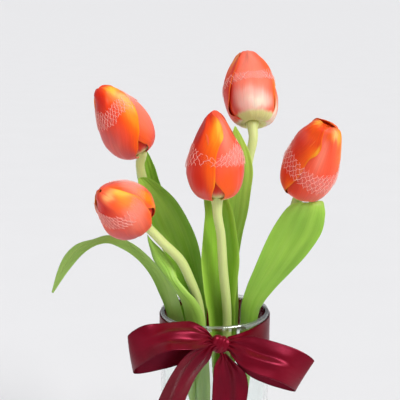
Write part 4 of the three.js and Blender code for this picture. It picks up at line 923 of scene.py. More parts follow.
# Where each colour lies on the outer petals that are painted one by one: colour, angle round the bloom in
# degrees, station along it, how far it spreads both ways, how strong it is, and the side of the midrib that
# it keeps to, if any. Later ones lie over earlier ones.
PATCHES = {
    # left upper bloom, front petal: the red on the left of the midrib and the deep red beside it, high up, are partly
    # the petal's own red and partly painted shade on the side turned from the light
    ("a", 1): ("body", [("coral", -10, 0.50, 26, 0.16, 0.5), ("rose", -52, 0.45, 38, 0.22, 1.0), ("mauve", -94, 0.50, 18, 0.30, 0.85),
                        ("salmon", -34, 0.42, 22, 0.10, 0.35), ("rose", -24, 0.31, 28, 0.12, 0.9), ("orange", 27, 0.55, 17, 0.20, 0.95), ("orange", 32, 0.88, 22, 0.09, 1.0),
                        ("orange", 12, 0.33, 10, 0.10, 0.95), ("red", -40, 0.95, 60, 0.15, 1.0, -1), ("deep", -62, 0.86, 24, 0.10, 0.5),
                        ("salmon", 6, 0.93, 9, 0.05, 0.45, 1), ("amber", 42, 0.62, 15, 0.20, 0.95), ("yellow", 68, 0.94, 24, 0.06, 1.0),
                        ("straw", 62, 0.80, 15, 0.09, 0.8), ("yellow", 56, 0.66, 7, 0.12, 0.85)]),
    # its right petal: the pale patch high on the right is a painted highlight
    ("a", 2): ("coral", [("orange", 50, 0.48, 14, 0.15, 1.0), ("orange", 40, 0.40, 12, 0.09, 0.9), ("body", 70, 0.30, 24, 0.10, 0.9),
                         ("deep", 88, 0.26, 16, 0.06, 0.4), ("salmon", 62, 0.56, 24, 0.18, 0.6), ("salmon", 84, 0.62, 18, 0.16, 0.9), ("salmon", 74, 0.80, 22, 0.12, 0.8),
                         ("pale", 102, 0.88, 30, 0.14, 1.0), ("mauve", 108, 0.55, 10, 0.2, 0.35)]),
    # left lower bloom, front petal: the red on the left of the midrib, high up, is partly the petal's own red and
    # partly painted shade on the side turned from the light
    ("b", 1): ("coral", [("rose", -48, 0.44, 42, 0.17, 0.9), ("mauve", -34, 0.33, 34, 0.07, 0.6), ("salmon", 28, 0.62, 32, 0.15, 0.9),
                         ("salmon", 8, 0.50, 22, 0.10, 0.4), ("orange", 46, 0.42, 13, 0.12, 0.8), ("orange", 8, 0.80, 18, 0.07, 0.55),
                         ("amber", 44, 0.79, 22, 0.11, 0.6), ("yellow", 64, 0.86, 18, 0.10, 0.95), ("straw", 24, 0.96, 34, 0.05, 0.6, 1),
                         ("red", -62, 0.86, 52, 0.15, 1.0, -1), ("mauve", -116, 0.88, 14, 0.2, 0.7)]),
    # its right petal: the pale patch is a painted highlight
    ("b", 2): ("coral", [("orange", 86, 0.90, 17, 0.11, 1.0), ("rose", 128, 0.9, 22, 0.1, 0.45), ("pale", 120, 0.68, 28, 0.10, 0.9),
                         ("salmon", 96, 0.70, 20, 0.10, 0.85), ("body", 86, 0.50, 14, 0.09, 0.8), ("orange", 70, 0.45, 10, 0.08, 1.0),
                         ("amber", 65, 0.42, 7, 0.04, 0.8), ("amber", 78, 0.56, 13, 0.12, 0.8)]),
    # center bloom, left petal: the reds and the deep red left of the midrib, high up, are partly the petal's own red
    # and partly painted shade on the side turned from the light
    ("c", 1): ("body", [("red", -42, 0.45, 26, 0.20, 0.75), ("rose", -72, 0.38, 20, 0.16, 0.75), ("mauve", -92, 0.48, 18, 0.20, 0.7), ("red", -88, 0.84, 28, 0.17, 0.85), ("red", -30, 0.97, 46, 0.06, 0.7),
                        ("rose", -45, 0.27, 38, 0.07, 0.85), ("orange", -9, 0.45, 13, 0.22, 1.0), ("orange", -8, 0.72, 21, 0.20, 1.0),
                        ("amber", 2, 0.80, 13, 0.13, 0.85), ("yellow", 13, 0.85, 10, 0.08, 1.0), ("yellow", 20, 0.75, 7, 0.06, 0.95),
                        ("amber", -4, 0.38, 4, 0.06, 0.85), ("red", -60, 0.80, 40, 0.17, 1.0, -1), ("deep", -66, 0.80, 26, 0.15, 0.6, -1)]),
    ("c", 2): ("coral", [("salmon", 28, 0.80, 17, 0.13, 0.75), ("salmon", 40, 0.62, 26, 0.10, 0.5), ("orange", 22, 0.36, 24, 0.13, 0.7),
                         ("orange", 42, 0.28, 22, 0.07, 0.7), ("rose", 88, 0.45, 18, 0.22, 0.7), ("red", -46, 0.94, 16, 0.05, 0.6),
                         ("coral", 0, 0.97, 34, 0.05, 0.8), ("green", 20, 0.13, 40, 0.05, 0.8)]),
    ("c", 3): ("red", [("deep", 70, 0.82, 20, 0.14, 0.35), ("orange", 48, 0.9, 6, 0.15, 0.5), ("coral", 160, 0.45, 50, 0.3, 0.9),
                       ("salmon", 165, 0.6, 30, 0.2, 0.5), ("orange", 108, 0.4, 14, 0.2, 0.8), ("orange", 232, 0.6, 14, 0.3, 0.8)]),
    # top bloom, front petal: the cream and pale patches low in the middle are a painted highlight
    ("d", 1): ("coral", [("salmon", 5, 0.78, 36, 0.30, 0.8), ("orange", 62, 0.80, 18, 0.14, 0.85), ("salmon", 0, 0.55, 42, 0.12, 0.6),
                         ("red", -50, 0.42, 12, 0.17, 1.0), ("rose", -36, 0.42, 9, 0.12, 0.4), ("pale", -8, 0.42, 30, 0.07, 0.7),
                     ("pale", 28, 0.38, 18, 0.06, 0.6), ("cream", 4, 0.345, 27, 0.062, 1.0), ("pale", -20, 0.33, 20, 0.06, 0.85),
                     ("orange", 55, 0.47, 10, 0.11, 0.95), ("amber", 63, 0.53, 6, 0.08, 0.95)]),
    ("d", 2): ("salmon", [("coral", 84, 0.5, 20, 0.1, 0.6), ("orange", 68, 0.38, 6, 0.08, 0.6), ("cream", 76, 0.27, 26, 0.10, 0.95),
                          ("pale", 96, 0.42, 22, 0.12, 0.6), ("orange", 62, 0.44, 12, 0.13, 0.8), ("orange", 76, 0.43, 15, 0.13, 0.85), ("cream", 68, 0.33, 7, 0.10, 0.8), ("orange", 170, 0.6, 18, 0.3, 0.8), ("coral", 120, 0.8, 40, 0.2, 0.7)]),
    ("d", 3): ("body", [("orange", -58, 0.82, 17, 0.15, 1.0), ("orange", -74, 0.86, 22, 0.13, 1.0), ("amber", -52, 0.88, 15, 0.08, 0.9), ("red", -36, 0.75, 8, 0.2, 0.8),
                        ("red", -60, 0.5, 22, 0.12, 0.6), ("rose", -94, 0.5, 18, 0.2, 0.7), ("coral", -125, 0.5, 24, 0.3, 0.8),
                        ("orange", -178, 0.6, 18, 0.3, 0.8)]),
    ("e", 1): ("body", [("rose", -98, 0.72, 38, 0.13, 0.7), ("rose", -62, 0.83, 26, 0.05, 0.5), ("orange", -30, 0.68, 23, 0.14, 1.0),
                        ("red", -50, 0.72, 17, 0.13, 0.6), ("amber", -13, 0.70, 7, 0.09, 0.8), ("yellow", -8, 0.76, 4, 0.06, 0.8), ("red", -60, 0.45, 27, 0.14, 0.75),
                        ("orange", -42, 0.41, 10, 0.06, 0.95), ("amber", -38, 0.36, 6, 0.05, 0.85), ("olive", -56, 0.26, 18, 0.04, 0.7),
                        ("orange", -34, 0.89, 26, 0.05, 0.5), ("orange", -78, 0.95, 44, 0.03, 0.8), ("yellow", -100, 1.005, 40, 0.02, 0.8),
                        ("mauve", -120, 0.55, 14, 0.3, 0.6)]),
    ("e", 2): ("coral", [("salmon", 4, 0.76, 12, 0.16, 0.8), ("orange", 72, 0.74, 25, 0.16, 1.0), ("orange", 26, 0.94, 26, 0.05, 0.9),
                         ("straw", 50, 0.95, 20, 0.05, 0.8), ("yellow", 74, 0.9, 14, 0.07, 0.9), ("salmon", 46, 0.38, 28, 0.10, 0.6),
                         ("rose", 18, 0.30, 42, 0.09, 0.5), ("red", -30, 0.38, 17, 0.13, 0.7), ("salmon", 10, 0.22, 44, 0.06, 0.6), ("orange", 80, 0.62, 17, 0.16, 1.0), ("amber", 88, 0.80, 12, 0.2, 0.7)]),
}


def paint(key, petal_no, inner, S, T, W, A, rng):
    """How strongly each petal colour shows, as the factors of a chain of mixes."""
    edge = np.abs(S)
    p = rng.rand(8) * 6.28
    # streaks: every boundary runs further up or down along some veins than along others
    streak = 0.5 * np.sin(S * 13 + p[0]) + 0.3 * np.sin(S * 29 + p[1]) + 0.2 * np.sin(S * 53 + p[2])
    T2 = T + 0.022 * streak
    A2 = A + 2.0 * np.sin(T * 9 + p[3]) + 1.0 * np.sin(T * 23 + p[4])
    weight = {name: np.zeros_like(T) for name in TONES}

    def lay(name, amount):
        amount = np.clip(amount, 0, 1)
        for k in weight:
            weight[k] = weight[k] * (1 - amount)
        weight[name] = weight[name] + amount

    cream_end, green_end = FOOT[key] if key != "d" or petal_no == 1 else (0.22, 0.13)
    if inner:
        weight["red"] += 1
        lay("body", 0.55 * (1 - ramp(edge, 0.2, 0.7)))
        lay("orange", ramp(edge, 0.75, 1.0) * ramp(T, 0.2, 0.5) * 0.7)
        lay("deep", ramp(T2, 0.8, 0.98) * (0.0 if key in "be" else 0.3))
        # on the lower left and right blooms the inner petals' tops are painted orange: painted light that brightens the
        # open top, which lies in shade
        lay("orange", ramp(T2, 0.8, 0.95) * (0.7 if key in "be" else 0.0))
        # on the top bloom the inner petals are painted a brighter orange red: painted light where they show in shade
        # between the outer petals
        if key == "d":
            lay("body", 0.7)
        low = 0.10 if key == "d" else 0.0
        lay("rose", (1 - ramp(T2, 0.22 - low, 0.36 - low)) * 0.7)
        lay("green", 1 - ramp(T2, 0.14 - low, 0.30 - low))
    elif (key, petal_no) in PATCHES:
        base, patches = PATCHES[key, petal_no]
        weight[base] += 1
        for patch in patches:
            name, a, t, wa, wt, strong = patch[:6]
            near = np.exp(-np.abs((A2 - a) / wa) ** 2.2 - np.abs((T2 - t) / wt) ** 2.2)
            if len(patch) > 6:
                near = near * ramp(S * patch[6], -0.07, 0.10)
            lay(name, strong * np.minimum(1, 1.25 * near))
    else:
        weight["body"] += 1
        lay("coral", (1 - ramp(edge, 0.35, 0.8)) * (1 - ramp(T2, 0.66, 0.86)))
        lay("salmon", (1 - ramp(edge, 0.1, 0.45)) * ramp(T2, 0.25, 0.4) * (1 - ramp(T2, 0.6, 0.8)) * 0.7)
        lay("rose", ramp(-S, 0.2, 0.8) * (1 - ramp(T2, 0.4, 0.62)) * 0.7)
        lay("rose", (1 - ramp(T2, 0.2, 0.34)) * 0.6)
        lay("orange", ramp(edge, 0.55, 0.85) * ramp(T2, 0.15, 0.35) * 0.85)
        # high up, red on the left of the midrib and orange on the right: partly the petal's colours and partly painted
        # shade and painted light, the left side being turned from the light
        lay("red", ramp(-S, 0.0, 0.15) * ramp(T2, 0.66, 0.82) * 0.75)
        lay("orange", ramp(S, 0.0, 0.15) * ramp(T2, 0.66, 0.82) * 0.8)
        lay("yellow", ramp(S, 0.45, 0.85) * ramp(T2, 0.55, 0.72) * 0.8)
        # right bloom: orange near the top of the petal is painted light, brightening the inside of the opening, which
        # lies in shade
        if key == "e":
            lay("orange", ramp(T2, 0.84, 0.95) * 0.85)
    if not inner:
        lay("amber", ramp(edge, 0.93, 1.0) * ramp(T, 0.2, 0.4) * (0.45 if (key, petal_no) in PATCHES else 0.7))
        lay("cream", (1 - ramp(T2 + 0.05 * edge ** 2, cream_end * 0.8, cream_end * 1.08)) * 0.9)
        lay("green", 1 - ramp(T2 if key != "d" else T + 0.004 * streak, green_end * 0.85, green_end * 1.04))
        # top bloom: the olive low on the left of its foot is painted shade
        if key == "d":
            lay("olive", np.exp(-np.abs((A2 + 92) / 30) ** 2 - np.abs((T2 - 0.12) / 0.12) ** 2) * 0.8)
    total = np.zeros_like(T)
    factors = {}
    for k, name in enumerate(TONES):
        total = total + weight[name]
        factors["tone_" + name] = weight[name] / np.maximum(total, 1e-6)
    return factors


def inner_track(centre, swing, full):
    rows = []
    for t, half in PETAL_SPREAD:
        if full:
            # where the bloom is open at the top, the inner petals lean together there
            half = max(half, 64)
        m = centre + swing * t ** 3
        rows.append((t, m - half * 0.96, m, m + half * 0.96))
    return rows


def stem(name, key, bloom, number):
    route = list(STEM_PATHS[key]) + [tuple(bloom.base + bloom.axis * 4.0)]
    count, sides = 110, 28
    path = centripetal(route, count)
    share = np.linspace(0, 1, count + 1)
    radius = 3.6 + (3.3 - 3.6) * np.minimum(1, share * 17 / 12)
    # the receptacle under the petals is wider than the stem
    left = np.append(np.cumsum(np.linalg.norm(np.diff(path, axis=0), axis=1)[::-1])[::-1], 0)
    radius = radius + 0.12 * np.sin(share * 23 + number) + 1.7 * np.exp(-((left - 4.6) / 2.4) ** 2) + 0.35 * np.exp(-((left - 9) / 4) ** 2)
    V, faces = tube(path, radius, sides)
    # slight ribs, and the foot cut flat
    w = np.tile(np.arange(sides) / sides * 2 * np.pi, count + 1)
    centre = np.repeat(path, sides, axis=0)
    ring = V[:len(w)]
    ring = centre + (ring - centre) * (1 + 0.018 * np.sin(w * 5 + number) + 0.012 * np.sin(w * 9 + 2 * number))[:, None]
    V = np.vstack([ring, V[len(w):]])
    V[:sides, 2] = V[len(w), 2] = 10.6
    across = np.concatenate([w / np.pi - 1, [0, 0]])
    along = np.concatenate([np.repeat(share, sides), [0, 1]])
    return make_mesh(name, V, faces, dict(across=np.abs(across), along=along, seed=np.full(len(V), 3.1 * number)))


def pistil(name, bloom):
    """Pistil with a three-lobed stigma, and six stamens with long anthers."""
    seat = 4.35
    parts, part_no = [], []

    def add(line, radii, sides, value, shape=None):
        rise = np.array([q[2] for q in line])
        P = bloom.place(np.array([q[0] for q in line]), np.array([q[1] for q in line]), rise)
        drift = SWELL[bloom.key]["drift"]
        P = P + (bloom.front * drift[0] + bloom.right * drift[1]) * ((rise / (62 * bloom.tall)) ** 2)[:, None]
        V, f = tube(P, radii, sides)
        if shape is not None:
            V = shape(V, P)
        parts.append((V, f))
        part_no.append(np.full(len(V), value))

    z = np.linspace(0, 1, 30)
    body = 2.25 + 0.75 * (1 - ramp(z, 0, 0.12)) + 0.15 * np.sin(z * 3.1) - 0.35 * ramp(z, 0.75, 0.9)

    def three(V, P):
        sides = 24
        w = np.arange(sides) / sides * 2 * np.pi
        k = len(P)
        ring = V[:k * sides].reshape(k, sides, 3)
        ring = P[:, None] + (ring - P[:, None]) * (1 + 0.13 * np.cos(3 * w))[None, :, None]
        return np.vstack([ring.reshape(-1, 3), V[k * sides:]])
    add([(0.0, 0.0, seat + 15.2 * q) for q in z], body, 24, 0.0, three)
    for k in range(3):
        a = k * 120 * DEG
        g = np.linspace(0, 1, 14)
        line = [(a, 0.3 + 2.6 * q, seat + 15.0 + 2.4 * math.sin(min(1.0, q * 1.25) * 1.9)) for q in g]
        add(line, 1.0 * np.sqrt(np.clip(1 - (2 * g - 1) ** 2 * 0.7, 0.05, 1)), 12, 1.0)
    for k in range(6):
        a = (k * 60 + 30) * DEG
        g = np.linspace(0, 1, 12)
        add([(a, 2.3 + 2.5 * smooth(q * 1.3), seat + 0.3 + 7.2 * q) for q in g], 0.62 - 0.25 * g, 10, 0.2)
        h = np.linspace(0, 1, 18)
        add([(a, 4.85 + 0.4 * q, seat + 6.8 + 8.4 * q) for q in h], 1.05 * np.sqrt(np.clip(1 - (2 * h - 1) ** 4, 0.03, 1)), 12, 2.0)
    V, faces = join(parts)
    return make_mesh(name, V, faces, dict(part=np.concatenate(part_no)))


# the net's lower and upper edge round each bloom, and how close its threads lie: angle, station, station, share
NET_EDGES = dict(
    a=[(-180, 0.62, 0.79, 1), (-90, 0.62, 0.80, 1), (-50, 0.64, 0.80, 1), (-15, 0.65, 0.78, 1), (10, 0.70, 0.82, 0.9), (35, 0.71, 0.84, 1), (70, 0.68, 0.82, 0.5),
       (120, 0.64, 0.80, 0.8), (180, 0.62, 0.79, 1)],
    b=[(-180, 0.64, 0.80, 1), (-100, 0.66, 0.80, 1), (-60, 0.62, 0.79, 1), (-40, 0.60, 0.76, 1), (-20, 0.58, 0.73, 1), (4, 0.56, 0.69, 1), (20, 0.56, 0.70, 0.7),
       (32, 0.565, 0.72, 0.0), (118, 0.58, 0.78, 0.0), (150, 0.62, 0.79, 0.8), (180, 0.64, 0.80, 1)],
    c=[(-180, 0.52, 0.68, 1), (-85, 0.50, 0.69, 0.9), (-60, 0.53, 0.67, 0.8), (-40, 0.55, 0.65, 0.75), (-20, 0.54, 0.61, 0.8), (0, 0.53, 0.59, 0.85), (18, 0.53, 0.62, 1),
       (40, 0.52, 0.66, 1), (60, 0.52, 0.70, 1), (90, 0.52, 0.70, 1), (180, 0.52, 0.68, 1)],
    d=[(-180, 0.54, 0.66, 1), (-80, 0.53, 0.60, 1), (-60, 0.54, 0.62, 1), (-40, 0.55, 0.645, 0.95), (-20, 0.56, 0.645, 0.5), (0, 0.56, 0.65, 0.3), (20, 0.56, 0.66, 0.35),
       (40, 0.58, 0.69, 0.75), (60, 0.60, 0.73, 0.9), (90, 0.60, 0.72, 1), (180, 0.54, 0.66, 1)],
    e=[(-180, 0.50, 0.68, 1), (-100, 0.52, 0.70, 1), (-60, 0.50, 0.65, 1), (-40, 0.49, 0.62, 1), (-20, 0.46, 0.60, 1), (0, 0.43, 0.587, 1), (20, 0.41, 0.58, 1),
       (45, 0.40, 0.58, 1), (75, 0.43, 0.60, 0.8), (130, 0.47, 0.65, 1), (180, 0.50, 0.68, 1)],
)

# how dense the sheer part of the net is: angle, share
NET_SHEER = dict(
    a=[(-180, 0.5), (-90, 0.5), (-40, 0.45), (0, 0.2), (30, 0.3), (60, 0.3), (120, 0.6), (180, 0.5)],
    b=[(-180, 0.6), (-100, 0.6), (-40, 0.7), (0, 0.6), (30, 0.35), (60, 0.3), (90, 0.5), (130, 0.8), (180, 0.6)],
    c=[(-180, 0.6), (-90, 0.3), (-60, 0.12), (-30, 0.05), (0, 0.1), (18, 0.7), (40, 1.1), (75, 1.5), (110, 1.0), (180, 0.6)],
    d=[(-180, 0.6), (-90, 0.3), (-50, 0.3), (-30, 0.8), (0, 0.9), (40, 1.1), (60, 1.6), (90, 1.2), (180, 0.6)],
    e=[(-180, 0.5), (-100, 0.5), (-60, 0.25), (-30, 0.2), (-5, 0.6), (20, 1.0), (50, 1.2), (90, 1.0), (180, 0.5)],
)


def net_edges(key, degrees):
    rows = np.array(NET_EDGES[key])
    a = (np.asarray(degrees) + 180) % 360 - 180
    return [np.interp(a, rows[:, 0], rows[:, k]) for k in (1, 2, 3)]


def bud_net(name, bloom, key, number):
    """Sheer sleeve with an open lattice of fine thread round the bloom, with loose ends along both edges."""
    rng = random.Random(90 + number)
    count = 34
    parts, sheer = [], []
    pitch = 2 * math.pi / count
    lo_mean, hi_mean = np.mean(NET_EDGES[key], axis=0)[1:3]
    main = -1 if key == "b" else 1
    for family in (1, -1):
        for k in range(count):
            start = k * pitch + rng.uniform(-0.08, 0.08) * pitch
            a, b = rng.uniform(-0.10, 0.06), rng.uniform(0.94, 1.10)
            keep = rng.random()
            n = 26
            q = np.linspace(a, b, n)
            lean = (hi_mean - lo_mean) * 62 * bloom.tall / (20 * bloom.wide) * (1.05 if family == main else 0.85)
            wiggle = 0.10 * pitch * np.sin(q * 22 + rng.uniform(0, 6.28))
            az = start + family * (lean * q + wiggle)
            lo, hi, dense = net_edges(key, np.degrees(az))
            if keep > dense.min() + 0.001:
                continue
            t = lo + (hi - lo) * q + 0.005 * np.sin(q * 9 + rng.uniform(0, 6.28))
            r, z, nr, nz = bloom.outline(np.clip(t, 0, 1))
            d = surface_at(bloom, key, az, t) + 0.34 + 0.12 * family
            # loose ends stand off a little
            ends = ramp(-q, 0.0, 0.12) + ramp(q, 1.0, 1.12)
            d = d + 0.4 * ends
            P = bloom.place(az, r + nr * d, z + nz * d, np.clip(t, 0, 1))
            parts.append(tube(P, ((0.15 if key == "b" else 0.125) if family == main else 0.09) * (1 - 0.3 * ends), 6))
    V, faces = join(parts)
    threads = len(V)
    # the sheer sleeve itself, a closed film between the same edges
    rows, cols = 12, 120
    az = np.linspace(-math.pi, math.pi, cols + 1)[:-1]
    lo, hi, _ = net_edges(key, np.degrees(az))
    q = np.linspace(0, 1, rows + 1)
    film = []
    for depth in (0.20, 0.12):
        for share in q:
            t = lo + (hi - lo) * share
            r, z, nr, nz = bloom.outline(t)
            d = surface_at(bloom, key, az, t) + depth
            film.append(bloom.place(az, r + nr * d, z + nz * d, t))
    film = np.concatenate(film)
    per = (rows + 1) * cols
    extra = []
    for i in range(rows):
        for j in range(cols):
            a, b, c, d = i * cols + j, i * cols + (j + 1) % cols, (i + 1) * cols + (j + 1) % cols, (i + 1) * cols + j
            extra.append([a, b, c, d])
            extra.append([a + per, d + per, c + per, b + per])
    for j in range(cols):
        k = (j + 1) % cols
        extra.append([k, j, j + per, k + per])
        top = rows * cols
        extra.append([top + j, top + k, top + k + per, top + j + per])
    if (volume_of(film, extra) < 0) != (volume_of(V, faces) < 0):
        extra = [f[::-1] for f in extra]
    faces = list(faces) + [[v + threads for v in f] for f in extra]
    rows_of = np.array(NET_SHEER[key])
    dense = np.interp(np.degrees(az), rows_of[:, 0], rows_of[:, 1])
    inside = np.concatenate([dense * min(1.0, 5 * min(share, 1 - share) + 0.1) for share in q])
    veil = np.concatenate([np.zeros(threads), inside, inside])
    obj = make_mesh(name, np.vstack([V, film]), faces, dict(veil=veil))
    obj["thread_faces"] = len(faces) - len(extra)
    return obj


def surface_at(bloom, key, az, t):
    """How far the outermost petal stands out from the outline at each angle (radians) and station."""
    best = np.full(len(az), -3.0)
    for spec in OUTER[key]:
        share = t / spec["reach"]
        lo, mid, hi = table_at(spec["track"], np.clip(t, 0, 1))
        a = np.degrees(az)
        a = mid + (a - mid + 180) % 360 - 180
        s = np.where(a < mid, (a - mid) / np.maximum(mid - lo, 1), (a - mid) / np.maximum(hi - mid, 1))
        inside = np.abs(s) <= 1.02
        S = np.clip(s, -1, 1)
        keel = ramp(share, 0.45, 0.85) * 1.25
        d = S * SPIRAL - keel * 4 * np.abs(S) * (1 - np.abs(S)) * 0.9 + 0.25
        best = np.where(inside, np.maximum(best, d), best)
    k = np.ones(5) / 5
    best = np.maximum(best, -0.6)
    grown = np.maximum(best, np.convolve(np.pad(best, 2, mode="edge"), k, mode="valid"))
    return np.convolve(np.pad(grown, 2, mode="edge"), k, mode="valid")


def finish_piece(obj, material, node):
    obj.data.materials.append(material)
    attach(obj, "root")
    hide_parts(node)
    return obj


for b, key in enumerate("abcde"):
    bloom = Bloom(key)
    tulip = "tulip_" + NAMES[key]
    finish_piece(stem(tulip + "_stem_waxy", key, bloom, b + 1), STEM, tulip + "_stem")
    for k, spec in enumerate(OUTER[key]):
        piece = petal(f"{tulip}_outer_petal_{k + 1}_veined", bloom, spec["track"], spec["reach"], False, 10 * (b + 1) + k + 1)
        finish_piece(piece, PETAL_OUTER, f"{tulip}_outer_petal_{k + 1}")
    for k, (centre, swing) in enumerate(INNER[key]):
        piece = petal(f"{tulip}_inner_petal_{k + 1}_veined", bloom, inner_track(centre, swing, key in "be"), 1.07 if key in "be" else 0.95, True, 10 * (b + 1) + k + 4)
        finish_piece(piece, PETAL_INNER, f"{tulip}_inner_petal_{k + 1}")
    finish_piece(pistil(tulip + "_pistil_and_stamens_fine", bloom), PISTIL, tulip + "_pistil_and_stamens")
    net = finish_piece(bud_net(tulip + "_bud_net_thread", bloom, key, b + 1), NET, tulip + "_bud_net")
    net.data.materials.append(SHEER)
    first = net["thread_faces"]
    del net["thread_faces"]
    net.data.polygons.foreach_set("material_index", [int(i >= first) for i in range(len(net.data.polygons))])


# ---------------------------------------------------------------- leaves
LEAF_NAMES = dict(l1="leaf_far_left_arching", l2="leaf_left_clasping", l3="leaf_left_broad", l4="leaf_upper_left",
                  l5="leaf_center_cupped", l6="leaf_top", l7="leaf_right_broad")
# how grey, light or dark each leaf is, as (grey, light, dark) over its whole face
LEAF_TONE = dict(l1=(0.4, 0.3, 0.0), l2=(0.25, 0.15, 0.0), l3=(0.0, 0.05, 0.0), l4=(0.1, 0.1, 0.2), l5=(0.0, 0.1, 0.1),
                 l6=(0.0, 0.45, 0.0), l7=(0.1, 0.15, 0.0))


def leaf(name, key, number):
    stations = LEAF_STATIONS[key]
    rows, cols = 14 * (len(stations) - 1), 28
    u = np.linspace(0, len(stations) - 1, rows + 1)
    left = catmull([s[0] for s in stations], u)
    right = catmull([s[1] for s in stations], u)
    cup = catmull([s[2] for s in stations], u)
    q = np.linspace(0, 1, cols + 1)
    q = 0.5 + 0.5 * np.sign(q - 0.5) * (1 - (1 - np.abs(2 * q - 1)) ** 1.1)
    mid = left[:, None] + (right - left)[:, None] * q[None, :, None] + cup[:, None] * (4 * q * (1 - q))[None, :, None]
    n = normals(mid)
    s = 2 * q - 1
    W = np.repeat((u / u[-1])[:, None], cols + 1, axis=1)
    S = np.repeat(s[None, :], rows + 1, axis=0)
    rng = np.random.RandomState(40 + number)
    p1, p2, p3 = rng.rand(3) * 6.28
    width = np.linalg.norm(right - left, axis=1)[:, None]
    room = np.clip(width / 20, 0, 1) * ramp(W, 0.3, 0.5)
    # a shallow channel on the midrib, long folds beside it and lightly waved margins
    off = -0.22 * np.exp(-(S / 0.06) ** 2) * np.clip(width / 12, 0, 1)
    off = off + room * (0.26 * np.cos(S * 13 + p1 + W * 2) + 0.34 * np.sin(W * 15 + p2) * S ** 2 + 0.12 * np.sin(W * 31 + p3) * np.abs(S) ** 3)
    mid = mid + n * off[..., None]
    n = normals(mid)
    thick = (0.22 + 0.58 * (1 - np.abs(S) ** 3)) * np.clip(0.45 + width / 14, 0, 1)
    front, back = mid + n * thick[..., None] / 2, mid - n * thick[..., None] / 2
    grey, light, dark = (np.full_like(S, v) for v in LEAF_TONE[key])
    if key in LEAF_LOOKS:
        grey, light, dark = LEAF_LOOKS[key](grey, light, dark, S, W)
    dark = dark + 0.5 * (1 - ramp(W, 0.14, 0.34))
    attrs = dict(across=(S, S), along=(W, W), seed=(number * 2.3, number * 2.3 + 4), grey=(grey, grey), light=(light, light), dark=(dark, dark))
    return shell(name, front, back, attrs)


def look_l1(g, l, d, S, W):
    return g + 0.1 * ramp(W, 0.3, 0.6), l + 0.25 * (1 - ramp(np.abs(S - 0.2), 0.1, 0.5)) + 0.3 * ramp(W, 0.7, 0.95), d + 0.15 * ramp(-S, 0.3, 0.9)


# left clasping leaf: painted shade over its far left half, and painted light on its right half
def look_l2(g, l, d, S, W):
    return g, l + 0.25 * ramp(S, 0.2, 0.8), d + 0.7 * ramp(-S, 0.45, 0.75) * ramp(W, 0.4, 0.6)


# left broad leaf: greyer all over; painted light toward the tip on the left, and painted shade on the right half
def look_l3(g, l, d, S, W):
    return g + 0.1, l + 0.35 * ramp(W, 0.55, 0.9) * ramp(-S, -0.4, 0.6), d + 0.5 * ramp(S, -0.1, 0.75) * (1 - ramp(W, 0.75, 0.95)) * ramp(W, 0.25, 0.45)


# cupped center leaf: painted light on its curled margins and painted shade in the hollow beside the midrib
def look_l5(g, l, d, S, W):
    return g, l + 0.35 * ramp(np.abs(S), 0.7, 0.95), d + 0.45 * (1 - ramp(np.abs(S - 0.35), 0.1, 0.5))


def look_l6(g, l, d, S, W):
    return g, l + 0.2 * ramp(S, 0.0, 0.8), d


# right broad leaf: painted light toward its tip, and painted shade toward its foot
def look_l7(g, l, d, S, W):
    return g, l + 0.45 * ramp(W, 0.7, 0.95), d + 0.45 * (1 - ramp(W, 0.4, 0.66))


LEAF_LOOKS = dict(l1=look_l1, l2=look_l2, l3=look_l3, l5=look_l5, l6=look_l6, l7=look_l7)

for i, (key, node) in enumerate(LEAF_NAMES.items()):
    finish_piece(leaf(node + "_veined", key, i + 1), LEAF, node)


# ---------------------------------------------------------------- vase
def vase(name):
    R, wall, H, base, foot = 40.0, 3.0, 200.0, 10.0, 2.2
    r, mid, rim = R - wall, R - wall / 2, wall / 2
    profile = [(0, 0.5), (R - 9, 0.5), (R - 6, 0.0), (R - foot, 0)]
    for k in range(1, 9):
        a = k / 8 * math.pi / 2
        profile.append((R - foot + foot * math.sin(a), foot - foot * math.cos(a)))
    profile += [(R, h) for h in (6, 20, 60, 100, 140, 180, 194)]
    for k in range(0, 17):
        a = k / 16 * math.pi
        profile.append((mid + rim * math.cos(a), H - rim + rim * math.sin(a)))
    profile += [(r, h) for h in (194, 180, 140, 100, 60, 20)]
    for k in range(0, 9):
        a = k / 8 * math.pi / 2
        profile.append((r - 4 + 4 * math.cos(a), base + 4 - 4 * math.sin(a)))
    profile += [(r - 14, base + 0.15), (0, base + 0.3)]
    facets = 160
    V, faces, rings = [], [], []
    for x, z in profile:
        if x == 0:
            rings.append([len(V)])
            V.append((0, 0, z))
        else:
            rings.append(list(range(len(V), len(V) + facets)))
            V += [(x * math.cos(k / facets * 2 * math.pi), x * math.sin(k / facets * 2 * math.pi), z) for k in range(facets)]
    for a, b in zip(rings[:-1], rings[1:]):
        for k in range(facets):
            n = (k + 1) % facets
            if len(a) == 1:
                faces.append([a[0], b[n], b[k]])
            elif len(b) == 1:
                faces.append([a[k], a[n], b[0]])
            else:
                faces.append([a[k], a[n], b[n], b[k]])
    return make_mesh(name, V, faces)


finish_piece(vase("glass_vase_round"), GLASS, "glass_vase")


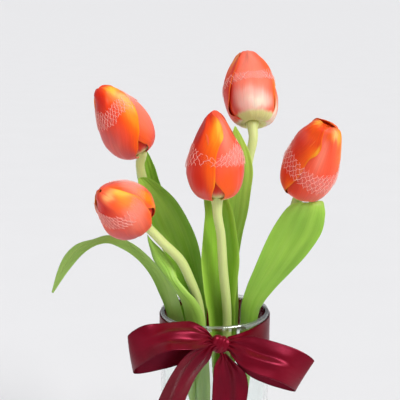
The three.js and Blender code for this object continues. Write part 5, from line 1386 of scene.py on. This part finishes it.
# ---------------------------------------------------------------- ribbon
def strip(name, mids, dirs, widths, pleats, thickness=0.34, cols=36, crown=0.0, extra=None):
    """Ribbon along a line: pleats is the depth of the gathers at each row."""
    q = np.linspace(-0.5, 0.5, cols + 1)
    dirs = dirs / np.linalg.norm(dirs, axis=1, keepdims=True)
    tangent = np.gradient(mids, axis=0)
    tangent /= np.maximum(np.linalg.norm(tangent, axis=1, keepdims=True), 1e-9)
    n = np.cross(dirs, tangent)
    n /= np.linalg.norm(n, axis=1, keepdims=True)
    S = np.repeat((2 * q)[None, :], len(mids), axis=0)
    s_len = np.concatenate([[0], np.cumsum(np.linalg.norm(np.diff(mids, axis=0), axis=1))])
    L = np.repeat((s_len / 10)[:, None], cols + 1, axis=1)
    off = pleats(S, s_len[:, None]) + crown * (1 - S ** 2)
    if extra is not None:
        off = off + extra(S, s_len[:, None])
    grid = mids[:, None] + dirs[:, None] * (q[None, :] * widths[:, None])[..., None] + n[:, None] * off[..., None]
    m = normals(grid)
    front, back = grid + m * thickness / 2, grid - m * thickness / 2
    area = 0.0
    a, b = grid[1:, :-1] - grid[:-1, :-1], grid[:-1, 1:] - grid[:-1, :-1]
    area = np.linalg.norm(np.cross(a, b), axis=2).sum()
    obj = shell(name, front, back, dict(across=(S, S), along=(L, L)))
    print("RIBBON", name, "length", round(float(s_len[-1]), 1), "area", round(float(area), 1))
    return obj


# where each piece of ribbon runs into the knot: a station before its first, and one after its last
INTO_KNOT = dict(
    loop_left=(((-2.4, -49.9, 193.9), (0.15, -0.301, -0.942), 6.4), ((-4.2, -47.4, 192.2), (-0.08, 0, -0.997), 7.0)),
    loop_right=(((7.2, -49.9, 189.7), (-0.291, -0.291, -0.911), 6.4), ((9.0, -47.5, 189.6), (-0.447, 0, -0.894), 6.6)),
    tail_left=(((-1.8, -52.4, 191.6), (0.8, -0.1, -0.58), 5.6), None),
    tail_right=(((5.4, -50.0, 184.6), (0.95, -0.2, -0.24), 5.6), None))


def stations(key, per=9):
    first, last = INTO_KNOT[key]
    rows = [first] + RIBBON_STATIONS[key] + ([last] if last else [])
    u = np.linspace(0, len(rows) - 1, per * (len(rows) - 1) + 1)
    mids = catmull([r[0] for r in rows], u)
    dirs = catmull([r[1] for r in rows], u)
    widths = catmull([(r[2], 0, 0) for r in rows], u)[:, 0]
    return mids, dirs, widths


def loop_pleats(depth, count, phase, start, total):
    """Gathers that die away over the first and last millimetres of a loop."""
    def at(S, s):
        near = (1 - ramp(s, 0, start)) ** 1.3 + (1 - ramp(total - s, 0, start)) ** 1.3
        return depth * near * np.sin(S * math.pi * count + phase)
    return at


def make_loop(key, node, name, phase):
    mids, dirs, widths = stations(key)
    total = float(np.linalg.norm(np.diff(mids, axis=0), axis=1).sum())

    def folds(S, s):
        # one long soft crease from the knot, and slack across the loop
        k = (s / total)
        return (1.5 * np.exp(-((S - 0.35 + 0.5 * k) / 0.22) ** 2) * ramp(s, 4, 16) * (1 - ramp(s, 20, 56))
                - 1.2 * np.exp(-((S + 0.28 - 0.4 * k) / 0.2) ** 2) * ramp(s, 6, 20) * (1 - ramp(s, 24, 60))
                + 0.5 * np.sin(k * 19 + phase) * (1 - S ** 2) * ramp(s, 12, 30))
    piece = strip(name, mids, dirs, widths, loop_pleats(0.75, 3.4, phase, 26, total), extra=folds)
    finish_piece(piece, SATIN, node)
    return piece, total


def make_tail(key, node, name, phase):
    mids, dirs, widths = stations(key)
    total = float(np.linalg.norm(np.diff(mids, axis=0), axis=1).sum())

    def gathers(S, s):
        return 0.75 * (1 - ramp(s, 0, 30)) ** 1.2 * np.sin(S * math.pi * 3 + phase)

    def folds(S, s):
        k = s / total
        return 0.5 * np.sin(k * 8 + phase) * S * ramp(s, 15, 40) + 1.3 * np.exp(-((S + 0.2 - 0.5 * k) / 0.24) ** 2) * ramp(s, 3, 12) * (1 - ramp(s, 26, 70)) - 0.9 * np.exp(-((S - 0.4) / 0.2) ** 2) * ramp(s, 3, 14) * (1 - ramp(s, 20, 50))
    piece = strip(name, mids, dirs, widths, gathers, extra=folds)
    finish_piece(piece, SATIN, node)
    return piece, total


def make_wrap(name):
    u = np.linspace(0, len(WRAP_STATIONS) - 1, 16 * (len(WRAP_STATIONS) - 1) + 1)
    s = catmull(WRAP_STATIONS, u)
    a = s[:, 0] * DEG
    near = 1 - ramp(np.minimum(s[:, 0] - 12, 348 - s[:, 0]), 2, 44)
    r = np.full(len(a), 40.55)
    mids = np.stack([r * np.sin(a), -r * np.cos(a), s[:, 1]], 1)
    dirs = np.tile([0, 0, -1.0], (len(a), 1))
    q = np.linspace(-0.5, 0.5, 29)
    S = np.repeat((2 * q)[None, :], len(a), axis=0)
    push = 0.65 * near[:, None] * (1 + np.sin(S * math.pi * 2.6 + 0.8)) + 0.06 * (1 + np.sin(S * 4 + a[:, None] * 7))
    R = r[:, None] + push
    grid = np.stack([R * np.sin(a)[:, None], -R * np.cos(a)[:, None], s[:, 1][:, None] - q[None, :] * s[:, 2][:, None]], 2)
    m = normals(grid)
    L = np.repeat((a * 4.055)[:, None], 29, axis=1)
    piece = shell(name, grid + m * 0.17, grid - m * 0.17, dict(across=(S, S), along=(L, L)))
    finish_piece(piece, SATIN_TAUT, "ribbon_wrap")
    return piece


def make_knot(name):
    """The band drawn tightly round the middle of the bow, pleated along its turn."""
    centre = np.array([2.5, -48.3, 190.6])
    half = 7.3
    turns, across = 96, 40
    x = np.linspace(-1, 1, across + 1)
    w = np.arange(turns) / turns * 2 * math.pi
    X, Wg = np.meshgrid(x, w)
    barrel = np.sqrt(np.clip(1 - 0.62 * X ** 2, 0.05, 1)) * (1 - 0.35 * np.abs(X) ** 8)
    pleat = 0.36 * np.sin(X * 8.2 + 0.9 * np.sin(Wg + 0.6)) + 0.16 * np.sin(X * 15 - 1.3 * np.cos(Wg))
    front = 0.5 - 0.5 * np.cos(Wg - math.pi)
    ry, rz = 4.3 * barrel + pleat * 0.9, 6.6 * barrel + pleat * 0.6
    lengthwise, upward = np.array([0.93, 0.0, -0.37]), np.array([0.37, 0.0, 0.93])
    P = (centre + (X * half + 0.8 * np.sin(Wg))[..., None] * lengthwise - (ry * np.cos(Wg))[..., None] * np.array([0, 1.0, 0])
         + (rz * np.sin(Wg))[..., None] * upward)
    idx = np.arange(P[..., 0].size).reshape(turns, across + 1)
    V = P.reshape(-1, 3)
    faces = []
    for i in range(turns):
        j = (i + 1) % turns
        for k in range(across):
            faces.append([idx[i, k], idx[i, k + 1], idx[j, k + 1], idx[j, k]])
    left, right = len(V), len(V) + 1
    V = np.vstack([V, V[idx[:, 0]].mean(0) + (0.6, 0, 0), V[idx[:, -1]].mean(0) - (0.6, 0, 0)])
    for i in range(turns):
        j = (i + 1) % turns
        faces.append([left, idx[i, 0], idx[j, 0]])
        faces.append([right, idx[j, -1], idx[i, -1]])
    S = np.concatenate([X.ravel() * 0.8, [0, 0]])
    L = np.concatenate([Wg.ravel() * 0.5, [0, 0]])
    piece = make_mesh(name, V, faces, dict(across=S, along=L))
    finish_piece(piece, SATIN, "bow_knot")
    return piece


wrap = make_wrap("ribbon_wrap_satin")
make_knot("bow_knot_pleated")
loop_l, len_l = make_loop("loop_left", "bow_loop_left", "bow_loop_left_satin", 0.4)
loop_r, len_r = make_loop("loop_right", "bow_loop_right", "bow_loop_right_satin", 2.1)
tail_l, len_tl = make_tail("tail_left", "ribbon_tail_left", "ribbon_tail_left_satin", 1.0)
tail_r, len_tr = make_tail("tail_right", "ribbon_tail_right", "ribbon_tail_right_satin", 2.6)


# ---------------------------------------------------------------- floor, light and camera
def disc(name, radius, z):
    n = 96
    V = [(radius * math.cos(k / n * 2 * math.pi), radius * math.sin(k / n * 2 * math.pi), z) for k in range(n)]
    mesh = bpy.data.meshes.new(name)
    mesh.from_pydata(V, [], [list(range(n))])
    obj = bpy.data.objects.new(name, mesh)
    scene.collection.objects.link(obj)
    return obj


floor = disc("floor", 400.0, -0.0004)
floor.data.materials.append(FLOOR)

world = bpy.data.worlds.new("studio")
scene.world = world
world.use_nodes = True
world.node_tree.nodes["Background"].inputs["Color"].default_value = (0.94, 0.95, 0.97, 1)
world.node_tree.nodes["Background"].inputs["Strength"].default_value = 0.47


def aimed(obj, look):
    obj.rotation_mode = "QUATERNION"
    obj.rotation_quaternion = (Vector(look) - obj.location).to_track_quat("-Z", "Y")


def softbox(name, at, look, size, power, colour):
    light = bpy.data.lights.new(name, "AREA")
    light.shape = "RECTANGLE"
    light.size, light.size_y = size
    light.energy = power
    light.color = colour
    obj = bpy.data.objects.new(name, light)
    scene.collection.objects.link(obj)
    obj.location = at
    aimed(obj, look)
    return obj


def daylight(name, toward, strength, spread, colour):
    """Even light on object and floor alike, from a broad patch of sky."""
    light = bpy.data.lights.new(name, "SUN")
    light.energy = strength
    light.angle = spread * DEG
    light.color = colour
    obj = bpy.data.objects.new(name, light)
    scene.collection.objects.link(obj)
    obj.location = toward
    aimed(obj, (0, 0, 0))
    return obj


daylight("window_light", (1.0, -0.9, 1.05), 2.15, 24, (1.0, 0.985, 0.965))
daylight("window_glint", (0.5, -0.85, 1.4), 0.4, 9, (1.0, 0.99, 0.975))
daylight("sky_light", (-0.3, 0.3, 1.6), 0.35, 80, (0.97, 0.985, 1.0))
softbox("fill_left", (-1.4, -0.8, 0.9), (0, 0, 0.26), (1.0, 1.2), 1.5, (0.95, 0.97, 1.0))

camera = bpy.data.objects.new("camera", bpy.data.cameras.new("camera"))
scene.collection.objects.link(camera)
camera.data.sensor_width = 36.0
camera.data.lens = 941.0 / 400.0 * 36.0
camera.data.clip_start, camera.data.clip_end = 0.01, 2000.0
camera.location = (-0.0108, -0.6629, 0.425)
camera.rotation_euler = ((90 - 12.17) * DEG, 0, 0)
scene.camera = camera
scene.view_settings.view_transform = "Standard"
